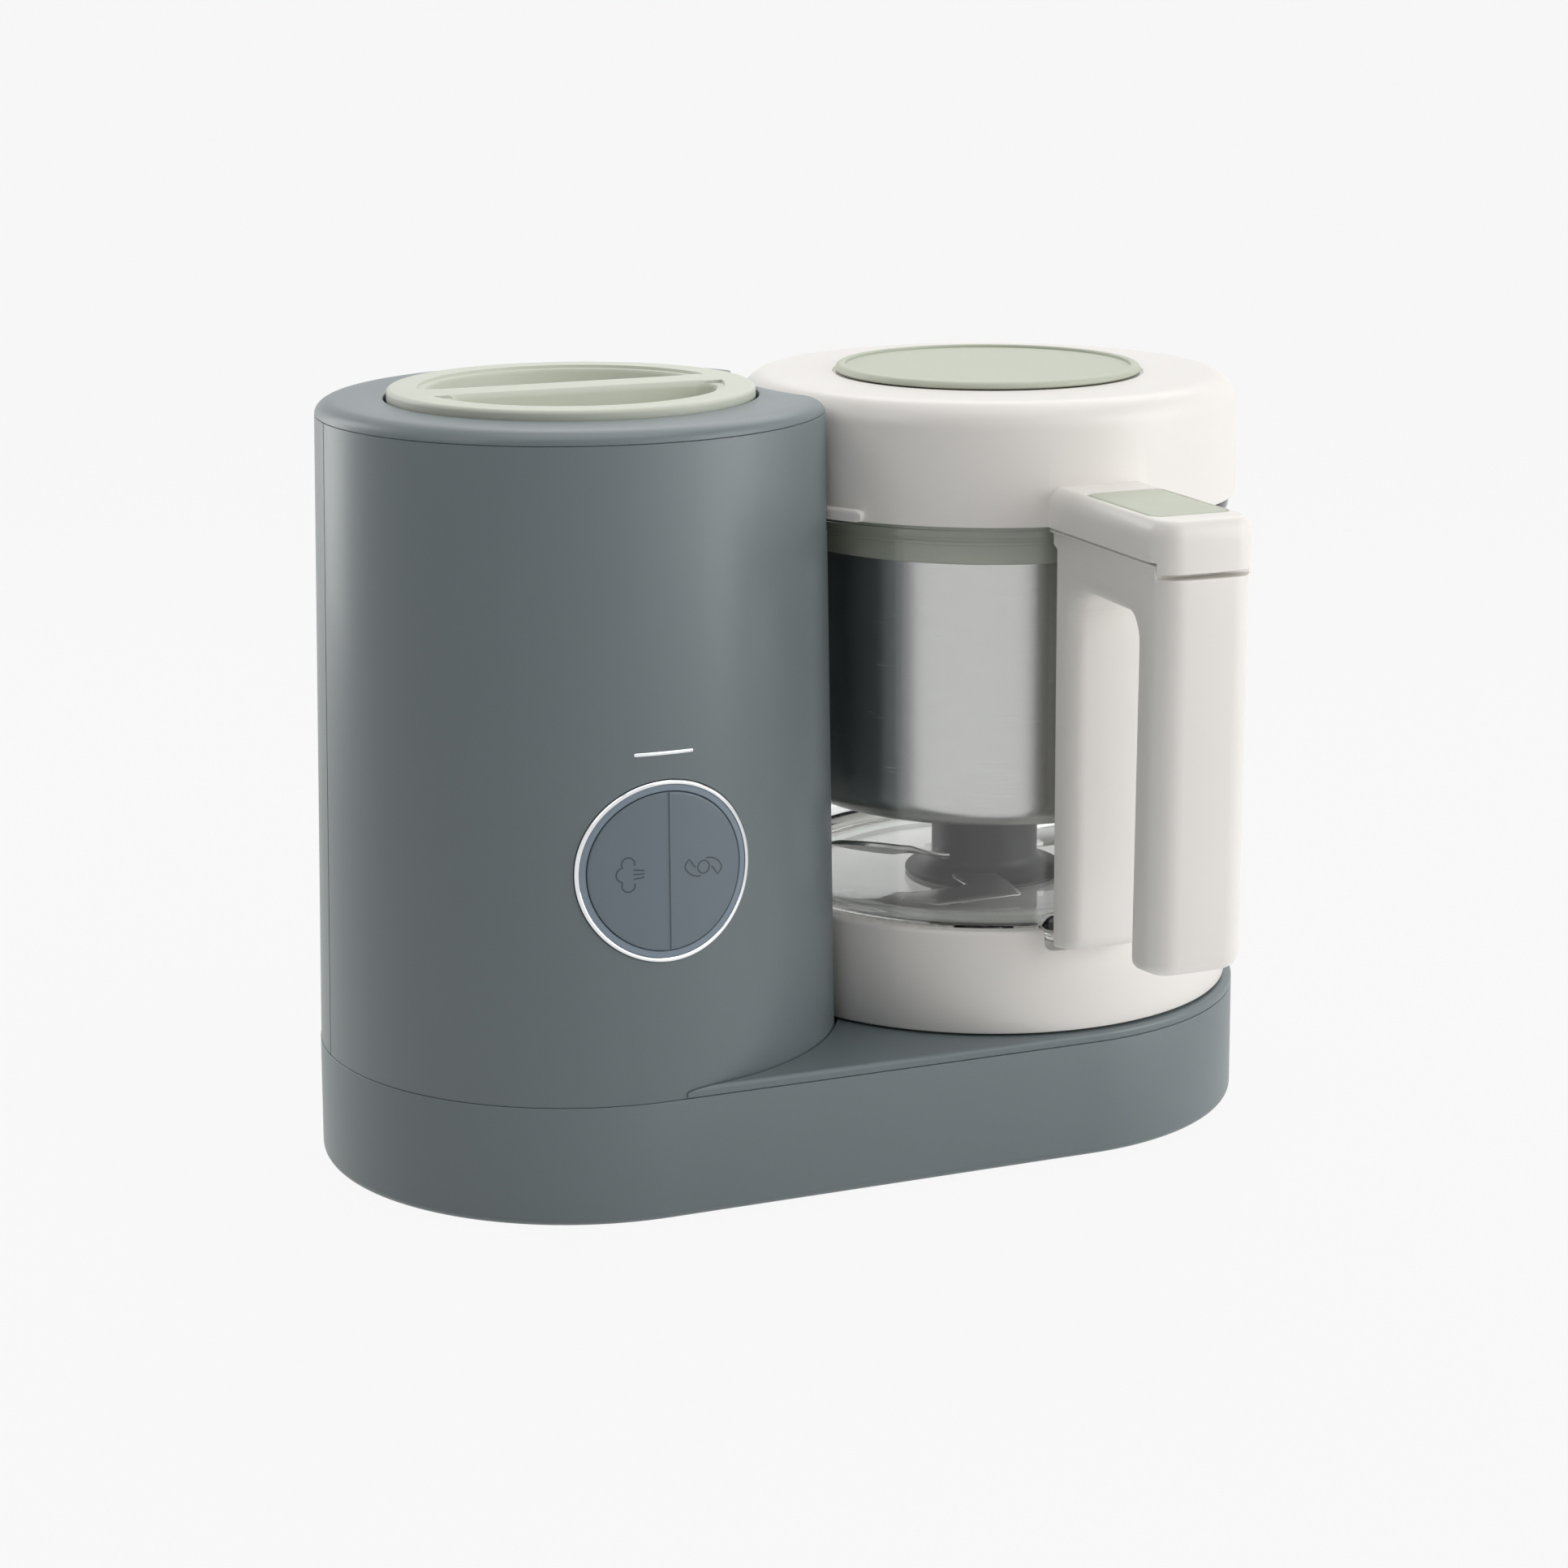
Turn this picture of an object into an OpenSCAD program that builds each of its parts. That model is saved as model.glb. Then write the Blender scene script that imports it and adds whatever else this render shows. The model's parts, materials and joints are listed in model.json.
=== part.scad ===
// Steamer and blender for baby food. A column with a water boiler stands on the left of a
// race-track base, and a glass bowl with a basket, blade, lid and handle sits on the right.
// Heights are measured from the underside of the base pan, which the feet hold off the table.

/* [Base] */
// Width of the base's ledge round the collar of the bowl seat
deck_ledge = 2.8; // [2.6:0.1:6]
// Height of the base pan, up to the seam round the base
pan_h = 39.6; // [38:0.1:46]
// Thickness of the deck on top of the base pan
deck_t = 3.7; // [3.2:0.1:5]
// Thickness of the moulded casings
wall = 2.5; // [2:0.1:3]
// Height of the rubber feet
foot_h = 2; // [1.5:0.1:4]
// Radius of a rubber foot
foot_r = 9; // [7:0.5:11]
// Width of the seams between the casings
seam = 0.4; // [0.3:0.1:0.6]

/* [Column] */
// Step from the base in to the foot of the column
foot_step = 0.2; // [0.1:0.1:1]
// Thickness of the casing between the boiler cap and the recess for the bowl
web = 1.3; // [1.2:0.1:4]
// Draft of the column wall in degrees
col_draft = 0.81; // [0.5:0.01:1]
// Height of the rounded shoulder at the top of the column
shoulder_h = 5.1; // [4.5:0.1:6]
// Inward reach of the rounded shoulder
shoulder_w = 7; // [6:0.1:9]

/* [Boiler and its cap] */
// Reach of the cap past the boiler's inner wall
cap_reach = 10.55; // [10:0.05:14]
// Gap between the cap and the column
cap_gap = 1.05; // [0.8:0.05:1.6]
// Height by which the cap stands proud of the column
cap_proud = 3.2; // [2.5:0.1:4]
// Wall of the cap's finger wells
well_wall = 1.6; // [1.4:0.1:3]
// Depth of the finger wells
well_depth = 14; // [10:0.5:16]
// Width of the grip bar between the finger wells
grip_bar_w = 17; // [14:0.5:20]
// Inner radius of the boiler
boiler_r = 50.8; // [49:0.1:51]
// Inner depth of the boiler
boiler_depth = 152; // [140:1:154]
// Bore radius of the steam outlet
steam_r = 3.5; // [3:0.1:4]

/* [Control] */
// Height of the control above the base seam
dial_rise = 76.4; // [70:0.1:84]
// Outer radius of the bright ring round the control
dial_ring_r = 29.7; // [29:0.1:31]
// Inner radius of the bright ring
dial_ring_in = 28.05; // [27.5:0.05:28.2]
// Inner radius of the light band
light_in = 26.3; // [25.5:0.1:26.5]
// Tilt of the rocker each way in degrees
rocker_tilt = 2.5; // [1.5:0.1:3]
// Height of the bright bar above the control
bar_rise = 36.3; // [34:0.1:44]

/* [Bowl seat and motor] */
// Width of the collar's rim round the foot of the glass
collar_rim = 5.5; // [4.6:0.1:8]
// Height of the collar above the deck
collar_h = 36.2; // [35:0.1:42]
// Depth of the bowl seat below the collar's rim
seat_depth = 5.2; // [4.5:0.1:6]
// Outer radius of the motor
motor_r = 32; // [28:0.5:34]
// Radius of the motor shaft
shaft_r = 4; // [3.5:0.1:5]

/* [Bowl] */
// Outer radius of the glass bowl
bowl_r = 83.4; // [82.5:0.1:83.5]
// Thickness of the glass
glass_t = 3.2; // [2.8:0.1:3.4]
// Height of the glass bowl
bowl_h = 153.7; // [146:0.1:162]
// Radius of the blade hub
hub_r = 18.8; // [18:0.1:21]
// Height of the blade hub
hub_h = 31.2; // [28:0.1:34]
// Gap between the blade tips and the glass
blade_clear = 18.2; // [10:0.1:26]
// Thickness of the basket steel
basket_t = 0.8; // [0.6:0.1:1.2]
// Gap between the basket collar and the glass
basket_clear = 3.5; // [2:0.1:5]
// Width of the basket collar
basket_collar_w = 5.7; // [4.5:0.1:8]
// Height of the basket collar
basket_collar_h = 19.3; // [16:0.1:24]

/* [Lid] */
// Gap between the glass and the skirt of the lid
lid_clear = 1.1; // [1:0.1:1.6]
// Thickness of the lid's skirt
skirt_t = 2.2; // [2:0.1:2.8]
// Height of the lid
lid_h = 40.9; // [38:0.1:44]
// Narrowing of the lid up to its shoulder
lid_draft = 0.8; // [0.5:0.1:1.2]
// Radius of the lid's shoulder
lid_shoulder = 9; // [6:0.5:10]
// Overlap of the lid skirt over the glass
lid_overlap = 11.2; // [10:0.1:13]
// Radius of the filling plug in the lid
plug_r = 53.2; // [50:0.1:56]
// Height by which the plug stands proud of the lid
plug_proud = 2.7; // [2:0.1:4]
// Gap between the lid and the recess in the column
recess_gap = 3; // [2.9:0.1:4]

/* [Handle and latch] */
// Space for the fingers between the handle's leg and grip
finger_gap = 46; // [42:0.5:56]
// Half width of the handle grip
grip_w = 17; // [15:0.1:17.5]
// Thickness of the handle grip
grip_t = 19; // [16:0.5:22]
// Thickness of the handle's inner leg
leg_t = 12; // [10:0.5:14]
// Height of the handle's upper bridge
bridge_h = 18.8; // [16:0.1:22]
// Half width of the lid arm
arm_w = 18.2; // [18:0.1:20]
// Height of the lid arm
arm_h = 13.3; // [12.5:0.1:16]
// Travel of the release button
press = 2; // [1.5:0.1:2.5]

/* [Hidden] */

$fn = 96;
far = 400;          // longer than any cut needs to be
fit = 0.2;          // gap between fixed pieces
rest = 0.3;         // gap between pieces that lift apart
run = 0.05;         // radial gap of a running shaft
edge = 1.5;         // small rounded edge
screw_r = 1.5;
screw_head_r = 3.2;
screw_head_h = 2;
boss_r = 4.5;

slate = [0.36, 0.42, 0.47];
cream = [0.93, 0.92, 0.88];
sage = [0.66, 0.71, 0.62];
pale_sage = [0.80, 0.83, 0.76];
steel = [0.75, 0.75, 0.75];
dark = [0.18, 0.18, 0.19];
silicone = [0.85, 0.86, 0.84];

// Radii and places, from the glass bowl outwards
foot_in = 4.4;            // narrowing of the glass at its foot
foot_clear = 1;           // play of the glass foot in the collar
leg_clear = 0.6;          // glue gap behind the handle's leg
bowl_in = bowl_r - glass_t;
glass_foot_r = bowl_r - foot_in;
collar_in = glass_foot_r + foot_clear;
collar_r = collar_in + collar_rim;
base_r = collar_r + deck_ledge;
col_foot_r = base_r - foot_step;
lid_r = bowl_r + lid_clear + skirt_t;
recess_r = lid_r + recess_gap;
cap_r = boiler_r + cap_reach;
mouth_r = cap_r + cap_gap;
axis_gap = mouth_r + web + recess_r;
handle_reach = bowl_r + leg_clear + leg_t + finger_gap + grip_t;
axis_y = (handle_reach - base_r) / 2;
tank_clear = axis_gap - recess_r - wall;
basket_collar_r = bowl_in - basket_clear;
basket_r = basket_collar_r - basket_collar_w;
blade_reach = bowl_in - blade_clear;

// Heights
deck_z = pan_h + seam;
deck_top = deck_z + deck_t - seam;
collar_z = deck_top + 2 * seam;
collar_top = deck_top + collar_h;
bowl_z = collar_top - seat_depth;
floor_t = 4;
floor_z = bowl_z + floor_t;
rim_z = bowl_z + bowl_h;
ledge_z = rim_z - 9;
lid_z = rim_z - lid_overlap;
lid_top = lid_z + lid_h;
col_top = lid_top;        // the column ends flush with the lid
top_seam = col_top - shoulder_h;
cap_top = col_top + cap_proud;
dial_z = pan_h + dial_rise;
hub_top = floor_z + hub_h;

tan_draft = tan(col_draft);

function col_r(z) = col_foot_r - (z - pan_h) * tan_draft;
function arc(c, r, a0, a1, n = 8) =
    [for (i = [0:n]) let (a = a0 + (a1 - a0) * i / n) c + [r[0] * cos(a), r[1] * sin(a)]];

module at_mid() translate([0, axis_y, foot_h]) children();
module at_tank() translate([-axis_gap / 2, axis_y, foot_h]) children();
module at_bowl() translate([axis_gap / 2, axis_y, foot_h]) children();
// The bowl axis as seen from the tank axis
module bowl_side() translate([axis_gap, 0, 0]) children();
// A ring between two radii and two heights
module ring(r0, r1, z0, z1) translate([0, 0, z0]) difference() {
    cylinder(r = r1, h = z1 - z0);
    translate([0, 0, -1]) cylinder(r = r0, h = z1 - z0 + 2);
}
module rod(r, z0, z1) translate([0, 0, z0]) cylinder(r = r, h = z1 - z0);
// A rod that runs along -Y from y0 to y1 at a height
module front_rod(r, y0, y1, z) translate([0, -y0, z]) rotate([90, 0, 0]) cylinder(r = r, h = y1 - y0);
module box(x0, x1, y0, y1, z0, z1) translate([x0, y0, z0]) cube([x1 - x0, y1 - y0, z1 - z0]);
// A solid with straight sides and round ends whose half section is the child
module race_track() {
    for (s = [-1, 1]) translate([s * axis_gap / 2, 0, 0]) rotate_extrude() children();
    rotate([90, 0, 90]) linear_extrude(axis_gap, center = true) {
        children();
        mirror([1, 0]) children();
    }
}
// The column's cone between two heights, moved in or out by an offset
module cone(z0, z1, off = 0)
    rotate_extrude() polygon([[0, z0], [col_r(z0) + off, z0], [col_r(z1) + off, z1], [0, z1]]);
module cone_wall(z0, z1, off0, off1)
    rotate_extrude() polygon([[col_r(z0) + off0, z0], [col_r(z0) + off1, z0],
        [col_r(z1) + off1, z1], [col_r(z1) + off0, z1]]);
// Rounded rectangle from x0,y0 to x1,y1
module rounded(x0, x1, y0, y1, r) {
    translate([x0 + r, y0]) square([x1 - x0 - 2 * r, y1 - y0]);
    translate([x0, y0 + r]) square([x1 - x0, y1 - y0 - 2 * r]);
    for (x = [x0 + r, x1 - r], y = [y0 + r, y1 - r]) translate([x, y]) circle(r);
}

// Screws of the base: two go into the column and two into the deck
column_screw_r = col_foot_r - wall - 11;
deck_screw_r = base_r - wall - 11;
module at_deck_screws() at_bowl() for (a = [-45, 45]) rotate(a) translate([deck_screw_r, 0, 0]) children();
module at_base_screws() {
    at_tank() for (a = [-135, 135]) rotate(a) translate([column_screw_r, 0, 0]) children();
    at_deck_screws() children();
}
post_z = pan_h - 10;      // height at which the pan's posts meet the upper posts
module column_post(a) rotate(a) difference() {
    union() {
        translate([column_screw_r, 0, 0]) rod(boss_r, post_z, deck_z + 12);
        box(column_screw_r, col_foot_r - wall + seam, -wall / 2, wall / 2, deck_z, deck_z + 12);
    }
    translate([column_screw_r, 0, 0]) rod(screw_r + run, post_z - 1, post_z + 12);
}

gland_r = 8;
gland_flange_r = gland_r + 2.5;
gland_seat_y = sqrt(pow(base_r - wall, 2) - pow(gland_flange_r, 2));
gland_z = 20;
cord_r = 3.6;
vent_n = 9;
vent_w = 2.6;
vent_h = 20;
vent_step = 7;            // degrees between the air slots of the column
module base_pan() color(slate) difference() {
    union() {
        at_mid() difference() {
            race_track() polygon(concat([[0, 0]], arc([base_r - 3, 3], [3, 3], -90, 0),
                [[base_r, pan_h], [0, pan_h]]));
            race_track() polygon([[0, wall], [base_r - wall, wall], [base_r - wall, pan_h + 1],
                [0, pan_h + 1]]);
        }
        at_base_screws() rod(boss_r, wall / 2, post_z - fit);
    }
    at_base_screws() {
        rod(screw_r + fit, -1, post_z + 1);
        rod(screw_head_r + fit, -1, screw_head_h + fit);
    }
    // air slots under the motor
    at_bowl() for (i = [0:vent_n - 1]) rotate(i * 360 / vent_n) box(14, 30, -1.5, 1.5, -1, wall + 1);
    at_tank() translate([0, 0, gland_z]) rotate([-90, 0, 0]) rod(gland_r + fit, base_r - 6, base_r + 1);
}

module at_feet() for (s = [-1, 1]) {
    at_tank() rotate(s * 118) translate([base_r - foot_r - 8, 0, -foot_h]) children();
    at_bowl() rotate(s * 62) translate([base_r - foot_r - 8, 0, -foot_h]) children();
}
module feet() color(dark) at_feet() rotate_extrude()
    polygon(concat([[0, 0]], arc([foot_r - 0.7, 0.7], [0.7, 0.7], -90, 0), [[foot_r, foot_h], [0, foot_h]]));

module base_screws() color(steel) at_base_screws() {
    rod(screw_head_r, 0.2, screw_head_h);
    rod(screw_r, screw_head_h, post_z + 9);
}

motor_hole_r = motor_r + 4;
module base_deck() color(slate) difference() {
    union() {
        at_mid() difference() {
            union() {
                race_track() polygon(concat([[0, deck_z], [base_r, deck_z]],
                    arc([base_r - edge, deck_top - edge], [edge, edge], 0, 90, 6), [[0, deck_top]]));
                race_track() polygon([[base_r - 2 * wall, deck_z - 5], [base_r - wall - fit, deck_z - 5],
                    [base_r - wall - fit, deck_z + 1], [base_r - 2 * wall, deck_z + 1]]);
            }
            translate([-axis_gap / 2, 0, 0]) rod(col_foot_r + seam, deck_z - 6, deck_top + 1);
            translate([-far - axis_gap / 2, -far / 2, 0]) cube([far, far, far]);
        }
        at_deck_screws() rod(boss_r, post_z, deck_z + 1);
        at_motor_screws() rod(boss_r, mount_z, deck_z + 1);
        at_collar_screws() rod(boss_r, collar_screw_z, deck_z + 1);
    }
    at_bowl() rod(motor_hole_r, 0, far);
    at_deck_screws() rod(screw_r + run, 0, post_z + 10.5);
    at_motor_screws() rod(screw_r + run, 0, mount_z + 7);
    at_collar_screws() rod(screw_r + run, 0, far);
}

module column_cuts() bowl_side() rod(recess_r, 0, far);
lug_z = lid_z;
lug_h = 4.1;
module front_cover() color(slate) at_tank() difference() {
    union() {
        difference() {
            cone_wall(deck_z, top_seam, -wall, 0);
            translate([-far / 2, -seam / 2, 0]) cube([far, far, far]);
            column_cuts();
            front_rod(dial_ring_r + fit, 0, far, dial_z);
            // slot that shows the lug of the lid at the corner of the recess
            bowl_side() ring(0, recess_r + 1.6, lug_z - 3.3, lug_z + 3.6);
            translate([bar_x, 0, 0]) front_rod(bar_pin_r + fit, dial_r - wall - 6, far, bar_z);
        }
        column_post(-135);
    }
}
module rear_housing() color(slate) at_tank() difference() {
    union() {
        difference() {
            cone_wall(deck_z, top_seam, -wall, 0);
            translate([-far / 2, seam / 2 - far, 0]) cube([far, far, far]);
            column_cuts();
        }
        intersection() {
            bowl_side() ring(recess_r, recess_r + wall, deck_top + seam, col_top - wall - fit);
            union() {
                cone(deck_z, col_top, -wall - fit);
                intersection() {
                    cone(deck_z, top_seam, -wall / 2);
                    translate([-far / 2, seam / 2, 0]) cube([far, far, far]);
                }
            }
        }
        column_post(135);
    }
    translate([tank_clear - 4, 0, steam_z]) rotate([0, 90, 0]) cylinder(r = steam_out_r + fit, h = 12);
    // air slots low in the back of the column
    for (i = [-3:3]) rotate(90 + i * vent_step)
        box(col_foot_r - 8, col_foot_r + 2, -vent_w / 2, vent_w / 2, deck_z + 12, deck_z + 12 + vent_h);
}
module top_cover() color(slate) at_tank() difference() {
    rotate_extrude() polygon(concat(
        [[mouth_r, col_top], [mouth_r, cap_seat_z - 1.5], [mouth_r + 1.6, cap_seat_z - 1.5],
            [mouth_r + 1.6, col_top - wall], [col_r(top_seam) - shoulder_w, col_top - wall],
            [col_r(top_seam) - wall, top_seam + seam], [col_r(top_seam), top_seam + seam]],
        arc([col_r(top_seam) - shoulder_w, top_seam + seam],
            [shoulder_w, shoulder_h - seam], 0, 90)));
    column_cuts();
    bowl_side() rod(recess_r + wall + fit, 0, col_top - wall - fit);
}

// Bowl seat
leg_w = grip_w - 1.2;
notch_w = leg_w + 2;
seat_plate_z = bowl_z - 2 - wall - rest;
collar_screw_r = collar_r - 14;
collar_screw_z = pan_h - 6;
module at_collar_screws() at_bowl() for (a = [10, 130, 250]) rotate(a)
    translate([collar_screw_r, 0, 0]) children();
module bowl_collar() color(cream) union() {
    at_bowl() difference() {
        rotate_extrude() polygon(concat([[collar_r - wall - 1, collar_z], [collar_r, collar_z]],
            arc([collar_r - edge, collar_top - edge], [edge, edge], 0, 90, 6),
            [[collar_in, collar_top], [collar_in, seat_plate_z + wall], [seal_r, seat_plate_z + wall],
                [seal_r, seat_plate_z], [collar_r - wall - 1, seat_plate_z]]));
        box(-notch_w, notch_w, -far, -collar_in + 6, bowl_z - 1.8, far);
    }
    difference() {
        at_collar_screws() rod(boss_r, deck_top, seat_plate_z + 0.01);
        at_collar_screws() rod(screw_r + run, 0, deck_top + 10);
    }
}
module collar_screws() color(steel) at_collar_screws() {
    rod(screw_head_r, collar_screw_z - screw_head_h, collar_screw_z);
    rod(screw_r, collar_screw_z, deck_top + 8);
}
seat_gasket_r = glass_foot_r - 13;
module seat_gasket() color(silicone) at_bowl()
    ring(seat_gasket_r, seat_gasket_r + 6, seat_plate_z + wall, bowl_z - rest);

// Boiler
neck_h = 10.5;
cap_seat_z = cap_top - 6.9;
neck_z = cap_seat_z - neck_h;
boiler_top = neck_z;
boiler_t = 1.2;
boiler_z = boiler_top - boiler_depth;
steam_z = boiler_top - 8.6;
steam_out_r = steam_r + 1.5;
module boiler() color(steel) at_tank() difference() {
    rotate_extrude() polygon([[0, boiler_z - boiler_t], [boiler_r - 3, boiler_z - boiler_t],
        [boiler_r + boiler_t, boiler_z + 3], [boiler_r + boiler_t, boiler_top - boiler_t],
        [boiler_r + 6, boiler_top - boiler_t], [boiler_r + 6, boiler_top], [boiler_r, boiler_top],
        [boiler_r, boiler_z + 4], [boiler_r - 4, boiler_z], [0, boiler_z]]);
    translate([boiler_r - 5, 0, steam_z]) rotate([0, 90, 0]) cylinder(r = steam_r, h = 12);
}
plate_t = 4;
plate_r = boiler_r - 5;
plate_z = boiler_z - boiler_t - plate_t;
element_r = 3.4;
element_ring_r = 36;
element_z = plate_z - element_r;
module heating_plate() color([0.7, 0.7, 0.72]) at_tank() rod(plate_r, plate_z, plate_z + plate_t);
module heating_element() color(dark) at_tank() {
    rotate_extrude() translate([element_ring_r, element_z]) circle(element_r, $fn = 32);
    for (y = [-8, 8]) translate([element_ring_r + 0.5, y, element_z - 16]) cylinder(r = 2, h = 14, $fn = 32);
}
module thermostat() color(dark) at_tank() {
    rod(9, plate_z - 5, plate_z);
    rod(6, plate_z - 11, plate_z - 5);
}
module thermal_fuse() color(cream) at_tank() translate([-18, 0, plate_z - 3.2]) rotate([90, 0, 0])
    cylinder(r = 3, h = 16, center = true, $fn = 32);
bracket_r = boiler_r + 2.4;
bracket_top = boiler_z + 14;
module boiler_bracket() color(steel) at_tank() {
    ring(boiler_r + boiler_t + run, bracket_r, bracket_top - 12, bracket_top);
    for (a = [45, 135, 225, 315]) rotate(a) difference() {
        box(boiler_r + boiler_t + run * 2, bracket_r + 1.6, -8, 8, wall, bracket_top);
    }
}
module tank_neck() color(dark) at_tank() {
    ring(boiler_r + 3.6, boiler_r + 6.4, boiler_top, cap_seat_z);
    for (a = [0, 180]) rotate(a + 20) intersection() {
        ring(cap_skirt_r + 1.2, boiler_r + 4, cap_seat_z - 3.4, cap_seat_z - 1.4);
        rotate_extrude(angle = 52) translate([1, 0]) square([far / 2, far]);
    }
}
steam_end = tank_clear + wall + 0.4;
module steam_outlet() color(dark) at_tank() translate([0, 0, steam_z]) rotate([0, 90, 0]) difference() {
    union() {
        rod(steam_out_r, boiler_r + boiler_t + rest, steam_end);
        rod(steam_out_r + 2, boiler_r + boiler_t + rest, boiler_r + boiler_t + 2);
    }
    rod(steam_r, 0, far);
}
module steam_seal() color(silicone) at_tank() translate([0, 0, steam_z]) rotate([0, 90, 0])
    ring(steam_r, steam_out_r + 1, steam_end, axis_gap - lid_r - rest);

// Cap of the boiler
skirt_clear = 0.9;        // gap between the cap's skirt and the boiler
cap_skirt_r = boiler_r - skirt_clear;
well_r = cap_skirt_r - well_wall;
cap_floor_z = cap_top - well_depth;
gasket_t = 1;
module tank_cap() color(pale_sage) at_tank() difference() {
    union() {
        rotate_extrude() polygon(concat([[0, cap_floor_z - 2], [cap_skirt_r, cap_floor_z - 2],
            [cap_skirt_r, cap_seat_z + rest + gasket_t], [cap_r, cap_seat_z + rest + gasket_t]],
            arc([cap_r - edge, cap_top - edge], [edge, edge], 0, 90, 6), [[0, cap_top]]));
        for (a = [0, 180]) rotate(a + 30) intersection() {
            ring(cap_skirt_r - 0.5, boiler_r + 3.2, cap_seat_z - 6.4, cap_seat_z - 3.7);
            rotate_extrude(angle = 40) translate([1, 0]) square([far / 2, far]);
        }
    }
    difference() {
        union() {
            rod(well_r, cap_floor_z, far);
            rod(well_r + 3, cap_top - 1, far);
        }
        box(-far, far, -grip_bar_w / 2, grip_bar_w / 2, 0, far);
    }
}
module cap_gasket() color(silicone) at_tank()
    ring(boiler_r + 3.8, boiler_r + 6.2, cap_seat_z + rest, cap_seat_z + rest + gasket_t);

// Control on the front of the column
dial_r = col_r(dial_z);
bar_x = -3;
bar_z = dial_z + bar_rise;
bar_w = 20;
bar_pin_r = 1;            // pin that holds the bar in the wall
// The child rods cut to the column's curve, between two depths outside its wall
module on_face(d0, d1) intersection() {
    cone_wall(dial_z - 60, dial_z + 60, d0, d1);
    translate([-60, -far, dial_z - 60]) cube([120, far, 120]);
    children();
}
module front_tube(r0, r1) difference() {
    front_rod(r1, 0, far, dial_z);
    front_rod(r0, -1, far + 1, dial_z);
}
module chrome_ring() color(steel) at_tank() on_face(-wall, 0.9) front_tube(dial_ring_in, dial_ring_r);
module light_ring() color([0.8, 0.85, 0.85]) at_tank() {
    on_face(-wall - 1.8, 0.3) front_tube(light_in, dial_ring_in - run);
    on_face(-wall - 1.8, -wall - 0.1) front_tube(light_in, dial_ring_r + 2.3);
}
rocker_r = light_in - 0.45;
pivot_y = dial_r - 9;
pivot_r = 2;
pivot_h = 16;
module rocker() color(cream) at_tank() {
    on_face(-4.5, 0.6) front_rod(rocker_r, 0, far, dial_z);
    box(-3, 3, -dial_r + 2, -pivot_y + 2.5, dial_z - 10, dial_z + 10);
    translate([0, -pivot_y, 0]) rod(pivot_r, dial_z - pivot_h, dial_z + pivot_h);
}
frame_y = dial_r - 17;    // front of the control board
frame_w = 38;             // half width of the frame
frame_h = 33;             // half height of the frame
frame_t = 2;
window = 9;               // half width of the opening behind the rocker
bearing_t = 4;            // height of a pivot bearing
bearing_rise = 13;        // from the dial's centre to a pivot bearing
bearing_reach = pivot_y + 3.2;
post_x = 33;
post_rise = 28;
post_r = 3;
function post_end(z) = sqrt(pow(col_r(z) - wall, 2) - pow(post_x + post_r, 2)) - rest;
module rocker_frame() color(dark) at_tank() {
    difference() {
        box(-frame_w, frame_w, -frame_y - frame_t, -frame_y, dial_z - frame_h, dial_z + frame_h);
        box(-window, window, -frame_y - frame_t - 1, -frame_y + 1, dial_z - window, dial_z + window);
    }
    for (z = [dial_z - bearing_rise, dial_z + bearing_rise]) difference() {
        box(-window + bearing_t, window - bearing_t, -bearing_reach, -frame_y - frame_t,
            z - bearing_t / 2, z + bearing_t / 2);
        translate([0, -pivot_y, 0]) rod(pivot_r + run, 0, far);
    }
    for (x = [-post_x, post_x], z = [dial_z - post_rise, dial_z + post_rise])
        translate([x, 0, 0]) front_rod(post_r, frame_y + 1, post_end(z), z);
}
switch_x = 17;            // from the pivot to a microswitch
switch_w = 5;             // half width of a microswitch
switch_h = 7;             // half height of a microswitch
switch_t = 5.5;
switch_r = 1.5;           // plunger
switch_end = frame_y + frame_t + switch_t;
module microswitches() color(dark) at_tank() for (x = [-switch_x, switch_x]) {
    box(x - switch_w, x + switch_w, -frame_y - frame_t - switch_t, -frame_y - frame_t,
        dial_z - switch_h, dial_z + switch_h);
    translate([x, 0, 0]) front_rod(switch_r, switch_end - 0.5, switch_end + 1.1, dial_z);
}
board_t = 1.6;
board_edge = 4;           // frame left uncovered round the control board
module control_board() color([0.15, 0.4, 0.25]) at_tank()
    box(board_edge - frame_w, frame_w - board_edge, -frame_y, -frame_y + board_t,
        dial_z - frame_h + 3, dial_z + frame_h - 3);
buzzer_r = 6;
buzzer_t = 7;
module buzzer() color(dark) at_tank() translate([14, 0, 0])
    front_rod(buzzer_r, frame_y - board_t - buzzer_t, frame_y - board_t, dial_z + frame_h - 17);
bar_t = 1.2;              // half height of the bar
bar_proud = 0.5;
module trim_bar() color(steel) at_tank() {
    intersection() {
        cone_wall(dial_z, dial_z + 60, 0, bar_proud);
        box(bar_x - bar_w / 2, bar_x + bar_w / 2, -far, 0, bar_z - bar_t, bar_z + bar_t);
    }
    intersection() {
        cone_wall(dial_z, dial_z + 60, -wall, bar_proud / 2);
        translate([bar_x, 0, 0]) front_rod(bar_pin_r, 0, far, bar_z);
    }
}
supply_z = wall + 6;      // underside of the power board
supply_w = 32;            // half width of the power board
supply_x = 2;             // the board lies a little towards the bowl
supply_top = supply_z + board_t;
part_h = 16;              // height of the tallest block on the board
module power_board() color([0.15, 0.4, 0.25]) at_tank() translate([supply_x, supply_x, 0]) {
    box(-supply_w, supply_w, -supply_w, supply_w, supply_z, supply_top);
    for (x = [4 - supply_w, supply_w - 4], y = [4 - supply_w, supply_w - 4])
        translate([x, y, 0]) rod(boss_r - 1.5, wall, supply_z);
    box(-26, -6, -24, -2, supply_top, supply_top + part_h - 2);
    box(2, 24, -22, 4, supply_top, supply_top + part_h - 6);
    translate([-14, 16, 0]) rod(6, supply_top, supply_top + part_h);
}
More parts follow.
